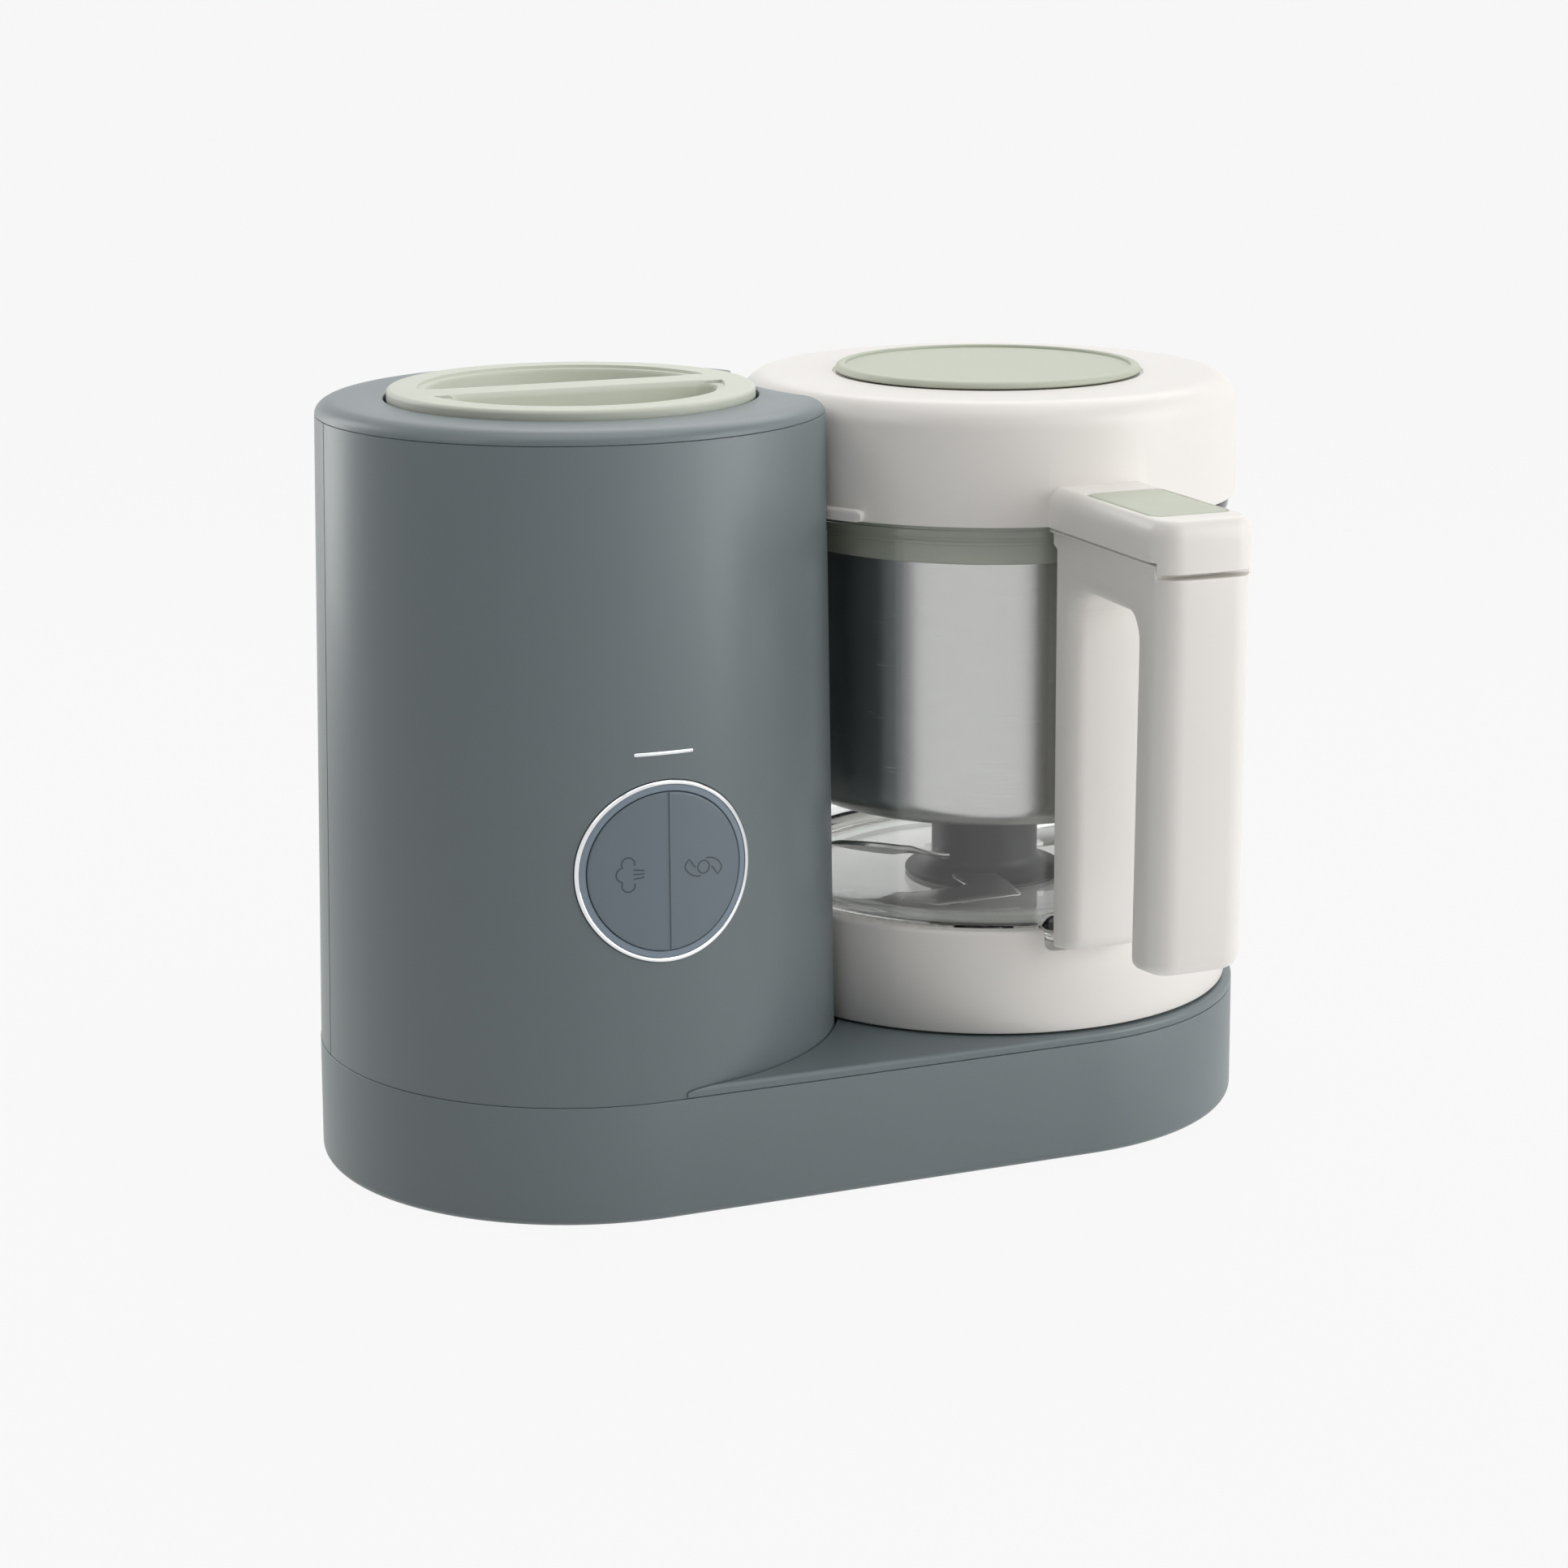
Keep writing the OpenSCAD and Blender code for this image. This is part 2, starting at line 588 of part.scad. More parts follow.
module cord_gland() color(dark) at_tank() translate([0, 0, gland_z]) rotate([-90, 0, 0]) difference() {
    union() {
        rod(gland_r, base_r - wall - 5, base_r - 0.3);
        rod(gland_flange_r, base_r - wall - 7, gland_seat_y - fit);
    }
    rod(cord_r, 0, far);
}

// Motor, upright under the bowl: it fills the height between the fan and the coupling
fan_space = 7.5;          // from the pan's floor to the motor
coupling_space = 9.5;     // from the motor to the plate of the bowl seat
cap_t = 4;                // thickness of the motor's end cap
can_t = 2;                // wall of the motor's can
motor_z = wall + fan_space;
motor_top = seat_plate_z - coupling_space;
bearing_r = 8;
bearing_h = 6;
mount_z = pan_h - 9;
mount_t = 2;
mount_skirt = 12;
mount_r = motor_r + 16;
mount_screw_r = mount_r - 6;
seal_r = 17;
slot_w = 4;               // half width of the slots in the can and the end cap
module at_motor_screws() at_bowl() for (a = [45, 135, 225, 315]) rotate(a)
    translate([mount_screw_r, 0, 0]) children();
module motor_housing() color([0.6, 0.6, 0.62]) at_bowl() difference() {
    rod(motor_r, motor_z + cap_t, motor_top);
    rod(motor_r - can_t, motor_z + cap_t - 1, motor_top - can_t);
    rod(bearing_r, 0, far);
    for (a = [0:60:300]) rotate(a + 15)
        box(motor_r / 2, motor_r - 8, -slot_w, slot_w, motor_top - can_t - 1, motor_top + 1);
}
module motor_end_cap() color(dark) at_bowl() difference() {
    rod(motor_r, motor_z, motor_z + cap_t);
    rod(bearing_r, 0, far);
    for (a = [0:60:300]) rotate(a) box(bearing_r + 4, motor_r - 5, -slot_w, slot_w, 0, far);
}
module motor_bearings() color(steel) at_bowl() {
    ring(shaft_r + run, bearing_r, motor_z, motor_z + bearing_h);
    ring(shaft_r + run, bearing_r, motor_top - bearing_h, motor_top);
}
module motor_mount() color(steel) at_bowl() difference() {
    union() {
        rod(mount_r, mount_z - mount_t, mount_z);
        rod(motor_r + mount_t, mount_z - mount_skirt, mount_z);
    }
    rod(motor_r + run, 0, far);
    for (a = [45, 135, 225, 315]) rotate(a) translate([mount_screw_r, 0, 0]) rod(screw_r + fit, 0, far);
}
module motor_screws() color(steel) at_motor_screws() {
    rod(screw_head_r, mount_z - mount_t - screw_head_h, mount_z - mount_t);
    rod(screw_r, mount_z - mount_t, mount_z + 6);
}
core_end = 12;            // from the core to the ends of the can
module rotor() color([0.55, 0.4, 0.25]) at_bowl() {
    rod(shaft_r, motor_z - 3, coupling_z + 4);
    rod(motor_r - 8, motor_z + core_end + 8, motor_top - core_end);
    rod(bearing_r + 3, motor_z + bearing_h + 2, motor_z + core_end + 3);
}
fan_h = 5.5;
fan_plate = 1;
module cooling_fan() color(dark) at_bowl() difference() {
    union() {
        rod(shaft_r + 3, motor_z - fan_h - 0.5, motor_z - rest);
        for (a = [0:30:330]) rotate(a)
            box(shaft_r + 2, motor_r - 7, -0.8, 0.8, motor_z - fan_h - 1, motor_z - 1);
        rod(motor_r - 6, motor_z - fan_h - 1.5, motor_z - fan_h - 1.5 + fan_plate);
    }
    rod(shaft_r, motor_z - 3, far);
}
// Drive: a hexagonal socket on the shaft takes a hexagonal plug under the bowl
coupling_z = motor_top + 3;
plug_flats_r = 8;
module drive_coupling() color(dark) at_bowl() difference() {
    rod(14, coupling_z, coupling_top);
    rod(shaft_r, 0, coupling_z + 4);
    translate([0, 0, coupling_z + 5]) cylinder(r = plug_flats_r + 0.6, h = far, $fn = 6);
}
coupling_top = seat_plate_z - 1;
module shaft_seal() color(silicone) at_bowl() ring(14 + rest, seal_r, seat_plate_z - 2, seat_plate_z + wall);
module driven_coupling() color(dark) at_bowl() {
    translate([0, 0, coupling_z + 6]) cylinder(r = plug_flats_r, h = nut_z - rest - coupling_z - 6, $fn = 6);
    rod(spindle_r, nut_z - rest, floor_z + 12);
}
spindle_r = 3;
nut_h = 3;
nut_z = bowl_z - nut_h;
bush_r = 7;
module bowl_bush() color(steel) at_bowl() difference() {
    union() {
        rod(bush_r, nut_z, floor_z + 2);
        rod(bush_r + 4, floor_z, floor_z + 2);
    }
    rod(spindle_r + run, 0, far);
}
module bush_nut() color(steel) at_bowl() difference() {
    translate([0, 0, nut_z]) cylinder(r = 12, h = nut_h, $fn = 6);
    rod(bush_r, 0, far);
}

// Glass bowl
bead_z = lid_z - 5.5;
boss_w = leg_w + 1;
neck_foot_z = collar_top + 0.4;
floor_round = 9;
module bowl_glass() color([0.85, 0.9, 0.9, 0.35]) at_bowl() difference() {
    union() {
        rotate_extrude() polygon(concat(
            [[bush_r, bowl_z], [glass_foot_r - 2, bowl_z], [glass_foot_r, bowl_z + 2],
                [glass_foot_r, neck_foot_z]],
            arc([glass_foot_r, neck_foot_z + foot_in], [foot_in, foot_in], -90, 0),
            [[bowl_r, bead_z], [bowl_r + 0.9, bead_z + 1], [bowl_r + 0.9, bead_z + 3], [bowl_r, bead_z + 4],
                [bowl_r, rim_z], [bowl_r - 1.6, rim_z], [bowl_r - 1.6, ledge_z], [bowl_in, ledge_z],
                [bowl_in, floor_z + floor_round]],
            arc([bowl_in - floor_round, floor_z + floor_round], [floor_round, floor_round], 0, -90),
            [[bush_r, floor_z]]));
        // pad behind the handle
        intersection() {
            union() {
                ring(bowl_in + 1, bowl_r + 3, collar_top + 0.5, bead_z - 2);
                ring(glass_foot_r - 1, bowl_r + 3, bowl_z, collar_top + 1);
            }
            box(-boss_w, boss_w, -far, 0, 0, far);
        }
    }
    at_handle_screws() front_rod(screw_r + run, bowl_r - 1, far, 0);
}
module at_handle_screws() for (z = [collar_top + 20, bead_z - 14]) translate([0, 0, z]) children();

// Handle: an inverted U
arch_z = lid_z - rest - bridge_h;
grip_z = bowl_z + 8.2;
grip_y = handle_reach - grip_t;
hook_t = 5;
hook_h = 3.4;
groove_r = handle_reach - 26;
module handle() color(cream) at_bowl() difference() {
    union() {
        // inner leg and bridge, cut to the glass
        rotate([0, 90, 0]) rotate([0, 0, 90]) translate([0, 0, -leg_w]) linear_extrude(2 * leg_w)
            rounded(-bowl_r - leg_t - leg_clear, -bowl_r + 8, bowl_z, lid_z - rest, 5);
        rotate([0, 90, 0]) rotate([0, 0, 90]) translate([0, 0, -grip_w]) linear_extrude(2 * grip_w)
            difference() {
                rounded(-handle_reach, -bowl_r + 8, grip_z, lid_z - rest, 6);
                difference() {
                    translate([-grip_y, 0]) square([grip_y, arch_z]);
                    translate([-grip_y, arch_z - 8]) difference() {
                        square(8);
                        translate([8, 0]) circle(8, $fn = 48);
                    }
                }
            }
    }
    translate([0, 0, -1]) cylinder(r = bowl_r + 0.1, h = far);
    rod(bowl_r + 1.1, bead_z - 0.5, bead_z + 4.5);
    rod(bowl_r + 3 + rest, 0, bead_z - 2 + rest);
    // step that the hook of the lid arm runs over
    ring(handle_reach - hook_t - 0.7, far, lid_z - rest - hook_h - 1.8, far);
    // groove that the latch pawl runs out of as the lid turns
    intersection() {
        ring(groove_r - 3, groove_r + 3, lid_z - 9, far);
        box(-pawl_w - 0.6, far, -far, 0, 0, far);
    }
    at_handle_screws() {
        front_rod(screw_r + fit, bowl_r, grip_y - 5, 0);
        front_rod(screw_head_r + fit, bowl_r + leg_t - 4, grip_y - 5, 0);
    }
}
module handle_screws() color(steel) at_bowl() at_handle_screws() {
    front_rod(screw_r, bowl_r - 0.5, bowl_r + leg_t - 4, 0);
    front_rod(screw_head_r, bowl_r + leg_t - 4, bowl_r + leg_t - 2, 0);
}

// Basket
basket_z = hub_top + 1;
basket_top = ledge_z + 2.5;
basket_collar_z = basket_top - basket_collar_h;
basket_round = 9;
module basket() color(steel) at_bowl() difference() {
    rotate_extrude() polygon(concat([[0, basket_z]], arc([basket_r - basket_round, basket_z + basket_round],
        [basket_round, basket_round], -90, 0),
        [[basket_r, basket_top - 1.5], [basket_r - basket_t, basket_top - 1.5]],
        arc([basket_r - basket_round, basket_z + basket_round],
            [basket_round - basket_t, basket_round - basket_t], 0, -90), [[0, basket_z + basket_t]]));
    for (n = [0:3], i = [0:max(0, 6 * n - 1)]) rotate(n == 0 ? 0 : i * 60 / n) translate([n * 14, 0, 0])
        rod(2.2, basket_z - 1, basket_z + 2);
}
module basket_collar() color(sage) at_bowl() difference() {
    rotate_extrude() polygon([[basket_r + fit, basket_collar_z], [basket_collar_r - 1.7, basket_collar_z],
        [basket_collar_r - 1.7, basket_collar_z + 6.8], [basket_collar_r, basket_collar_z + 6.8],
        [basket_collar_r, basket_top - 2.3], [bowl_in + 1.2, basket_top - 2.2], [bowl_in + 1.2, basket_top],
        [basket_r + fit, basket_top]]);
}

// Blade
hub_flange_r = hub_r + 9.5;
hub_foot = 1.2;           // thickness of the hub's flange
hub_neck_h = 7;           // height at which the flange has run into the hub
hub_z = floor_z + rest;
module blade_hub() color(dark) at_bowl() difference() {
    rotate_extrude() polygon(concat([[0, hub_z], [hub_flange_r, hub_z], [hub_flange_r, hub_z + hub_foot]],
        arc([hub_flange_r, hub_z + hub_neck_h], [hub_flange_r - hub_r, hub_neck_h - hub_foot], 270, 180),
        arc([hub_r - 4, hub_top - 4], [4, 4], 0, 90), [[0, hub_top]]));
    rod(bush_r + 4.5, 0, floor_z + 2 + rest + 0.5);
    rod(spindle_r, 0, floor_z + 12);
    box(-far, far, -blade_w / 2 - fit, blade_w / 2 + fit, blade_z - fit, blade_z + blade_t + fit);
    for (a = [0, 180]) rotate(a)
        box(-hub_r - fit, -low_in + fit, -far, -root_in + fit, low_z - fit, low_z + blade_t + fit);
}
// Steel blade in two layers: the upper strip has a pitched wing on the left and a flat wing on
// the right, and the lower wings are set off to the side of the hub, close over the floor
blade_z = hub_z + hub_neck_h;
blade_t = 1.6;
blade_w = 16;
blade_rise = 9;
blade_pitch = 20;
wing_root = hub_r + 0.3;
low_z = hub_z + 2;
low_side = hub_flange_r - 0.5;
low_reach = blade_reach - 3;
module wing() linear_extrude(blade_t) intersection() {
    translate([0, -blade_w / 2]) square([blade_reach - wing_root - 1, blade_w]);
    translate([-blade_w / 2, blade_w / 2]) circle(blade_reach - wing_root + blade_w / 2 - 2);
}
low_in = 4;               // from the axis to the side of a lower wing's root
root_in = bush_r + 5;     // from the axis to the end of a lower wing's root
module blade() color(steel) at_bowl() {
    difference() {
        box(-wing_root - 2, wing_root + 1, -blade_w / 2 + 0.5, blade_w / 2 - 0.5, blade_z, blade_z + blade_t);
        rod(spindle_r, 0, far);
    }
    translate([0, 0, blade_z]) {
        translate([wing_root, 0, 0]) wing();
        rotate(180) translate([wing_root, 0, 0]) rotate([-blade_pitch, -blade_rise, 0]) wing();
    }
    for (a = [0, 180]) rotate(a) translate([0, 0, low_z]) linear_extrude(blade_t) intersection() {
        circle(low_reach);
        union() {
            translate([-hub_r, -low_side - 1]) square([hub_r - low_in, low_side + 1 - root_in]);
            translate([-far, -low_side - blade_w]) square([far - low_in - 2, blade_w]);
        }
    }
}

// Lid
roof_t = 2.6;
plug_hole_r = plug_r - 7;
rib_r = bowl_r - 3;
seal_h = 2.7;
arm_wall = 2.3;
arm_floor = 1.6;
arm_roof = 2.4;
arm_top = lid_z + arm_h;
button_w = arm_w - 4.3;
button_y0 = lid_r + 14;
button_y1 = handle_reach - 12.4;
module lid_shell() color(cream) at_bowl() difference() {
    union() {
        difference() {
            union() {
                rotate_extrude() polygon(concat([[0, lid_z], [lid_r, lid_z]],
                    arc([lid_r - lid_draft - lid_shoulder, lid_top - lid_shoulder],
                        [lid_shoulder, lid_shoulder], 0, 90), [[0, lid_top]]));
                // arm
                translate([0, 0, lid_z]) linear_extrude(arm_h) intersection() {
                    rounded(-arm_w, arm_w, -handle_reach - 10, -lid_r + 12, 2);
                    circle(handle_reach);
                }
                // hook at the end of the arm
                intersection() {
                    ring(handle_reach - hook_t, handle_reach, lid_z - hook_h, lid_z + 1);
                    box(-arm_w, arm_w, -far, 0, 0, far);
                }
            }
            // hollow of the skirt and roof
            rotate_extrude() polygon(concat([[0, lid_z - 1], [lid_r - skirt_t, lid_z - 1]],
                arc([lid_r - lid_draft - lid_shoulder, lid_top - lid_shoulder],
                    [lid_shoulder - skirt_t, lid_shoulder - roof_t], 0, 90), [[0, lid_top - roof_t]]));
            // hollow of the arm
            box(-arm_w + arm_wall, arm_w - arm_wall, -button_y1 - 2, -button_y0 + 2,
                lid_z + arm_floor, arm_top - arm_roof);
            box(-button_w - 0.3, button_w + 0.3, -button_y1 - 0.3, -button_y0 + 0.3, lid_z + 5, far);
            box(-pawl_w - 0.5, pawl_w + 0.5, -groove_r - 2.2, -groove_r + 2.2, lid_z - 1, lid_z + 5);
        }
        intersection() {
            ring(lid_r - 1.5, lid_r + recess_gap - 0.5, lid_z, lid_z + lug_h);
            rotate(205) rotate_extrude(angle = 11.5) translate([1, 0]) square([far / 2, far]);
        }
    }
    rod(plug_hole_r, 0, far);
    translate([-far, 0, steam_z]) rotate([0, 90, 0]) cylinder(r = steam_r, h = far - 40);
}
// Ring under the roof of the lid that holds the seal
carrier_z = rim_z + rest + seal_h;
carrier_r = lid_r - skirt_t - lid_draft - run;
carrier_top = lid_top - lid_shoulder + 2;
module seal_carrier() color(cream) at_bowl() difference() {
    rotate_extrude() polygon([[rib_r, carrier_z], [carrier_r, carrier_z],
        [carrier_r, lid_top - lid_shoulder - 1], [rib_r, carrier_top]]);
    translate([-far, 0, steam_z]) rotate([0, 90, 0]) cylinder(r = steam_r, h = far);
}
module lid_seal() color(silicone) at_bowl() ring(rib_r, bowl_r + 0.2, rim_z + rest, rim_z + rest + seal_h);
pawl_w = 5;
module release_button() color(sage) at_bowl() difference() {
    translate([0, 0, lid_z + 6.3]) linear_extrude(arm_h - 6.2)
        rounded(-button_w, button_w, -button_y1, -button_y0, 1.2);
    box(-button_w + 2, button_w - 2, -button_y1 + 2, -button_y0 - 2, lid_z, arm_top - arm_roof);
}
module latch_pawl() color(steel) at_bowl() {
    box(-pawl_w, pawl_w, -groove_r - 1.8, -groove_r + 1.8, lid_z - 4.5, arm_top - arm_roof);
}
spring_gap = 20.3;        // from the pawl back to the spring
spring_y = groove_r - spring_gap;
spring_r = 4;
spring_wire = 0.55;
spring_turns = 5;
spring_pitch = (arm_h - arm_roof - arm_floor - 2 * spring_wire - 2 * fit) / (spring_turns - 1);
module latch_spring() color(steel) at_bowl() for (i = [0:spring_turns - 1])
    translate([0, -spring_y, lid_z + arm_floor + spring_wire + fit + i * spring_pitch])
        rotate_extrude() translate([spring_r, 0]) circle(spring_wire, $fn = 16);

// Filling plug
plug_top = lid_top + plug_proud;
module lid_plug() color(sage) at_bowl() difference() {
    union() {
        rotate_extrude() polygon(concat([[0, lid_top + rest], [plug_r, lid_top + rest]],
            arc([plug_r - 1.2, plug_top - 1.2], [1.2, 1.2], 0, 90, 6), [[0, plug_top]]));
        ring(plug_hole_r - 3.5, plug_hole_r - 1.5, lid_top - 8, lid_top + 1);
    }
    rod(plug_r - 3.6, plug_top - 1, far);
}
module plug_gasket() color(silicone) at_bowl()
    ring(plug_hole_r - 1.5, plug_hole_r - rest, lid_top - 5, lid_top - 2);

base_pan();
feet();
base_screws();
base_deck();
front_cover();
rear_housing();
top_cover();
bowl_collar();
collar_screws();
seat_gasket();
boiler_bracket();
boiler();
heating_plate();
heating_element();
thermostat();
thermal_fuse();
tank_neck();
steam_outlet();
steam_seal();
chrome_ring();
light_ring();
trim_bar();
rocker_frame();
microswitches();
control_board();
power_board();
buzzer();
cord_gland();
motor_housing();
motor_end_cap();
motor_bearings();
motor_mount();
motor_screws();
shaft_seal();
tank_cap();
cap_gasket();
rocker();
rotor();
cooling_fan();
drive_coupling();
bowl_glass();
bowl_bush();
bush_nut();
handle();
handle_screws();
basket();
basket_collar();
blade_hub();
blade();
driven_coupling();
lid_shell();
seal_carrier();
lid_seal();
latch_spring();
release_button();
latch_pawl();
lid_plug();
plug_gasket();
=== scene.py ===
# Steamer and blender for baby food, dressed for rendering. Sizes are in millimetres from
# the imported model's own boxes; every mesh is turned into metres where it is made.
import json
import math

import bmesh
import bpy
import numpy as np
from mathutils import Matrix, Vector
from mathutils.geometry import tessellate_polygon


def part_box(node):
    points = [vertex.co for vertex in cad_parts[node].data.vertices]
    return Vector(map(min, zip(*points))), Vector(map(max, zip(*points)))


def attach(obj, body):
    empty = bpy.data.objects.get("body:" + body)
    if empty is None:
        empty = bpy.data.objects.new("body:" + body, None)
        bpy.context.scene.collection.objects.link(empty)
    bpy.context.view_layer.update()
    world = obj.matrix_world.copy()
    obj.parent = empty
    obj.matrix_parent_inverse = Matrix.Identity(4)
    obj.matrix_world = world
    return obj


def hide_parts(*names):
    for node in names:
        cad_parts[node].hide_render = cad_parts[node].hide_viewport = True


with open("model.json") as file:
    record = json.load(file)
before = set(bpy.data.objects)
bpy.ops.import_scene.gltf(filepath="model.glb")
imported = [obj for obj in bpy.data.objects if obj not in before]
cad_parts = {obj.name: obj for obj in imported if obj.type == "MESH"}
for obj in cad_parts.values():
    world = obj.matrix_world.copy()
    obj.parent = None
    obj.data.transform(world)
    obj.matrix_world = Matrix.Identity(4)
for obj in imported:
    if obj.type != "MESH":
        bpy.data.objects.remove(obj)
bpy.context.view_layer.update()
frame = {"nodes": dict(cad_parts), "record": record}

scene = bpy.context.scene

# --- Base pan -----------------------------------------------------------------------
# The lower housing: one deep race-track shell moulded in slate plastic with a satin
# spark-eroded skin. It stands on four rubber feet and is closed by screws from below.
MM = 0.001


def span(node):
    """Lowest and highest corner of a frame node, in millimetres."""
    low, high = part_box(node)
    return np.array(low) / MM, np.array(high) / MM


def arc(centre, radii, start, end, steps=8):
    """Points of an ellipse arc: centre plus the two radii times cosine and sine, in degrees. A
    single radius makes it a circle's."""
    a, b = np.broadcast_to(radii, 2)
    t = np.radians(np.linspace(start, end, steps + 1))
    return np.stack([centre[0] + a * np.cos(t), centre[1] + b * np.sin(t)], 1)


def fillet(corner, radius, start, end, steps=8):
    """The quarter circle that rounds a corner of a profile, from one angle to another. Its
    centre lies inside the corner by the radius, opposite to the middle of those angles."""
    middle = math.radians((start + end) / 2)
    right, up = math.copysign(radius, math.cos(middle)), math.copysign(radius, math.sin(middle))
    return arc((corner[0] - right, corner[1] - up), radius, start, end, steps)


def stack(rings, closed=False, wrap=True, caps=True):
    """Vertices and faces of a skin over rings of equally many points: quads between each ring
    and the next, and between last and first if closed; flat caps on open ends."""
    rings = np.asarray(rings, float)
    m, n = rings.shape[:2]
    i, j = np.meshgrid(np.arange(m if closed else m - 1), np.arange(n if wrap else n - 1), indexing="ij")
    i, j, i2, j2 = i.ravel(), j.ravel(), (i.ravel() + 1) % m, (j.ravel() + 1) % n
    faces = np.stack([i * n + j, i * n + j2, i2 * n + j2, i2 * n + j], 1).tolist()
    if caps and not closed:
        faces += [list(range(n))[::-1], list(range((m - 1) * n, m * n))]
    if caps and closed and not wrap:
        faces += [(np.arange(m) * n).tolist(), (np.arange(m) * n + n - 1).tolist()[::-1]]
    return rings.reshape(-1, 3), faces


def level(plan, height):
    """A flat outline of (x, y) points, lifted to a height."""
    return np.column_stack([plan, np.full(len(plan), height)])


def prism(plan, low, high):
    """A closed block: a flat outline carried straight up from one height to another."""
    return stack([level(plan, low), level(plan, high)])


def lathe(profile, centre, steps=144, closed=True):
    """A (radius, height) profile turned about a vertical axis: x and y are the radius times
    cosine and sine of the angle."""
    t = np.linspace(0, 2 * math.pi, steps, endpoint=False)
    p = np.asarray(profile, float)
    r, z = p[:, :1], p[:, 1:]
    rings = np.stack([centre[0] + r * np.cos(t), centre[1] + r * np.sin(t), z + 0 * t], 2)
    return stack(rings, closed=closed, caps=False)


def finish_mesh(mesh, sharp):
    """Merges doubled points, closes poles, points faces outwards and smooths below an angle."""
    bm = bmesh.new()
    bm.from_mesh(mesh)
    bmesh.ops.remove_doubles(bm, verts=bm.verts, dist=2e-6)
    bmesh.ops.dissolve_degenerate(bm, edges=bm.edges, dist=1e-7)
    bmesh.ops.recalc_face_normals(bm, faces=bm.faces)
    bm.to_mesh(mesh)
    bm.free()
    mesh.shade_smooth()
    mesh.set_sharp_from_angle(angle=math.radians(sharp))


def solid(name, parts, sharp=35):
    """One object from (vertices, faces) parts in millimetres."""
    verts, faces, first = [], [], 0
    for v, f in parts:
        verts.append(np.asarray(v) * MM)
        faces += [[k + first for k in face] for face in f]
        first += len(v)
    mesh = bpy.data.meshes.new(name)
    mesh.from_pydata(np.concatenate(verts).tolist(), [], faces)
    finish_mesh(mesh, sharp)
    obj = bpy.data.objects.new(name, mesh)
    scene.collection.objects.link(obj)
    return obj


def join(obj, parts, operation, sharp=35):
    """Adds or cuts closed (vertices, faces) parts by an exact boolean, and keeps the result."""
    tool = solid("tool", parts)
    step = obj.modifiers.new("join", "BOOLEAN")
    step.operation, step.solver, step.object = operation, "EXACT", tool
    bpy.context.view_layer.update()
    shape = bpy.data.meshes.new_from_object(obj.evaluated_get(bpy.context.evaluated_depsgraph_get()))
    obj.modifiers.clear()
    obj.data = shape
    shape.name = obj.name
    bpy.data.objects.remove(tool)
    finish_mesh(shape, sharp)
    return obj


def dress(obj, body, material, nodes=()):
    """Gives a piece its material, the body that it rides on and the nodes it replaces."""
    obj.data.materials.clear()
    obj.data.materials.append(material)
    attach(obj, body)
    if nodes:
        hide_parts(*nodes)
    return obj


def wire(tree, node, inputs):
    """Sets each named input of a shader node to a value, or links it where given a socket."""
    for label, value in inputs.items():
        if isinstance(value, bpy.types.NodeSocket):
            tree.links.new(value, node.inputs[label])
        else:
            node.inputs[label].default_value = value


def put(tree, kind, inputs=None, **settings):
    """Adds a shader node of a kind, makes its settings and wires its inputs."""
    node = tree.nodes.new("ShaderNode" + kind)
    for name, value in settings.items():
        setattr(node, name, value)
    wire(tree, node, inputs or {})
    return node


def calc(tree, operation, a, b):
    """The result of a Math node on two values, each a number or a socket."""
    return put(tree, "Math", {0: a, 1: b}, operation=operation).outputs[0]


def moulded_skin():
    """Spark-eroded grain and faint cloudiness of moulded plastic. A noise at the grain's size
    is the height; a much larger one, swung about zero and times the variation, shifts colour
    and roughness."""
    tree = bpy.data.node_groups.new("moulded_skin", "ShaderNodeTree")
    sockets = [("INPUT", "Color", "Color"), ("INPUT", "Roughness", "Float"),
               ("INPUT", "Grain per m", "Float"), ("INPUT", "Variation", "Float"),
               ("OUTPUT", "Color", "Color"), ("OUTPUT", "Roughness", "Float"), ("OUTPUT", "Height", "Float")]
    for side, label, kind in sockets:
        tree.interface.new_socket(name=label, in_out=side, socket_type="NodeSocket" + kind)
    given, out = tree.nodes.new("NodeGroupInput").outputs, tree.nodes.new("NodeGroupOutput")
    place = put(tree, "TexCoord").outputs["Object"]
    fine = put(tree, "TexNoise", {"Vector": place, "Scale": given["Grain per m"], "Detail": 2})
    cloud = put(tree, "TexNoise", {"Vector": place, "Scale": 22, "Detail": 3})
    swing = put(tree, "MapRange", {"Value": cloud.outputs["Fac"], "To Min": -1})
    shift = calc(tree, "MULTIPLY", swing.outputs["Result"], given["Variation"])
    bright = put(tree, "HueSaturation", {"Value": calc(tree, "ADD", shift, 1), "Color": given["Color"]})
    wire(tree, out, {"Color": bright.outputs["Color"], "Height": fine.outputs["Fac"],
                     "Roughness": calc(tree, "ADD", given["Roughness"], shift)})
    return tree


SKIN = moulded_skin()


def srgb(*levels):
    """Linear colour from 0-255 display levels: ((level / 255 + 0.055) / 1.055) to the power 2.4."""
    c = (np.array(levels) / 255 + 0.055) / 1.055
    return (*(c**2.4), 1)


def new_material(name):
    """A new material with nodes, its tree and its Principled shader."""
    material = bpy.data.materials.new(name)
    material.use_nodes = True
    return material, material.node_tree, material.node_tree.nodes["Principled BSDF"]


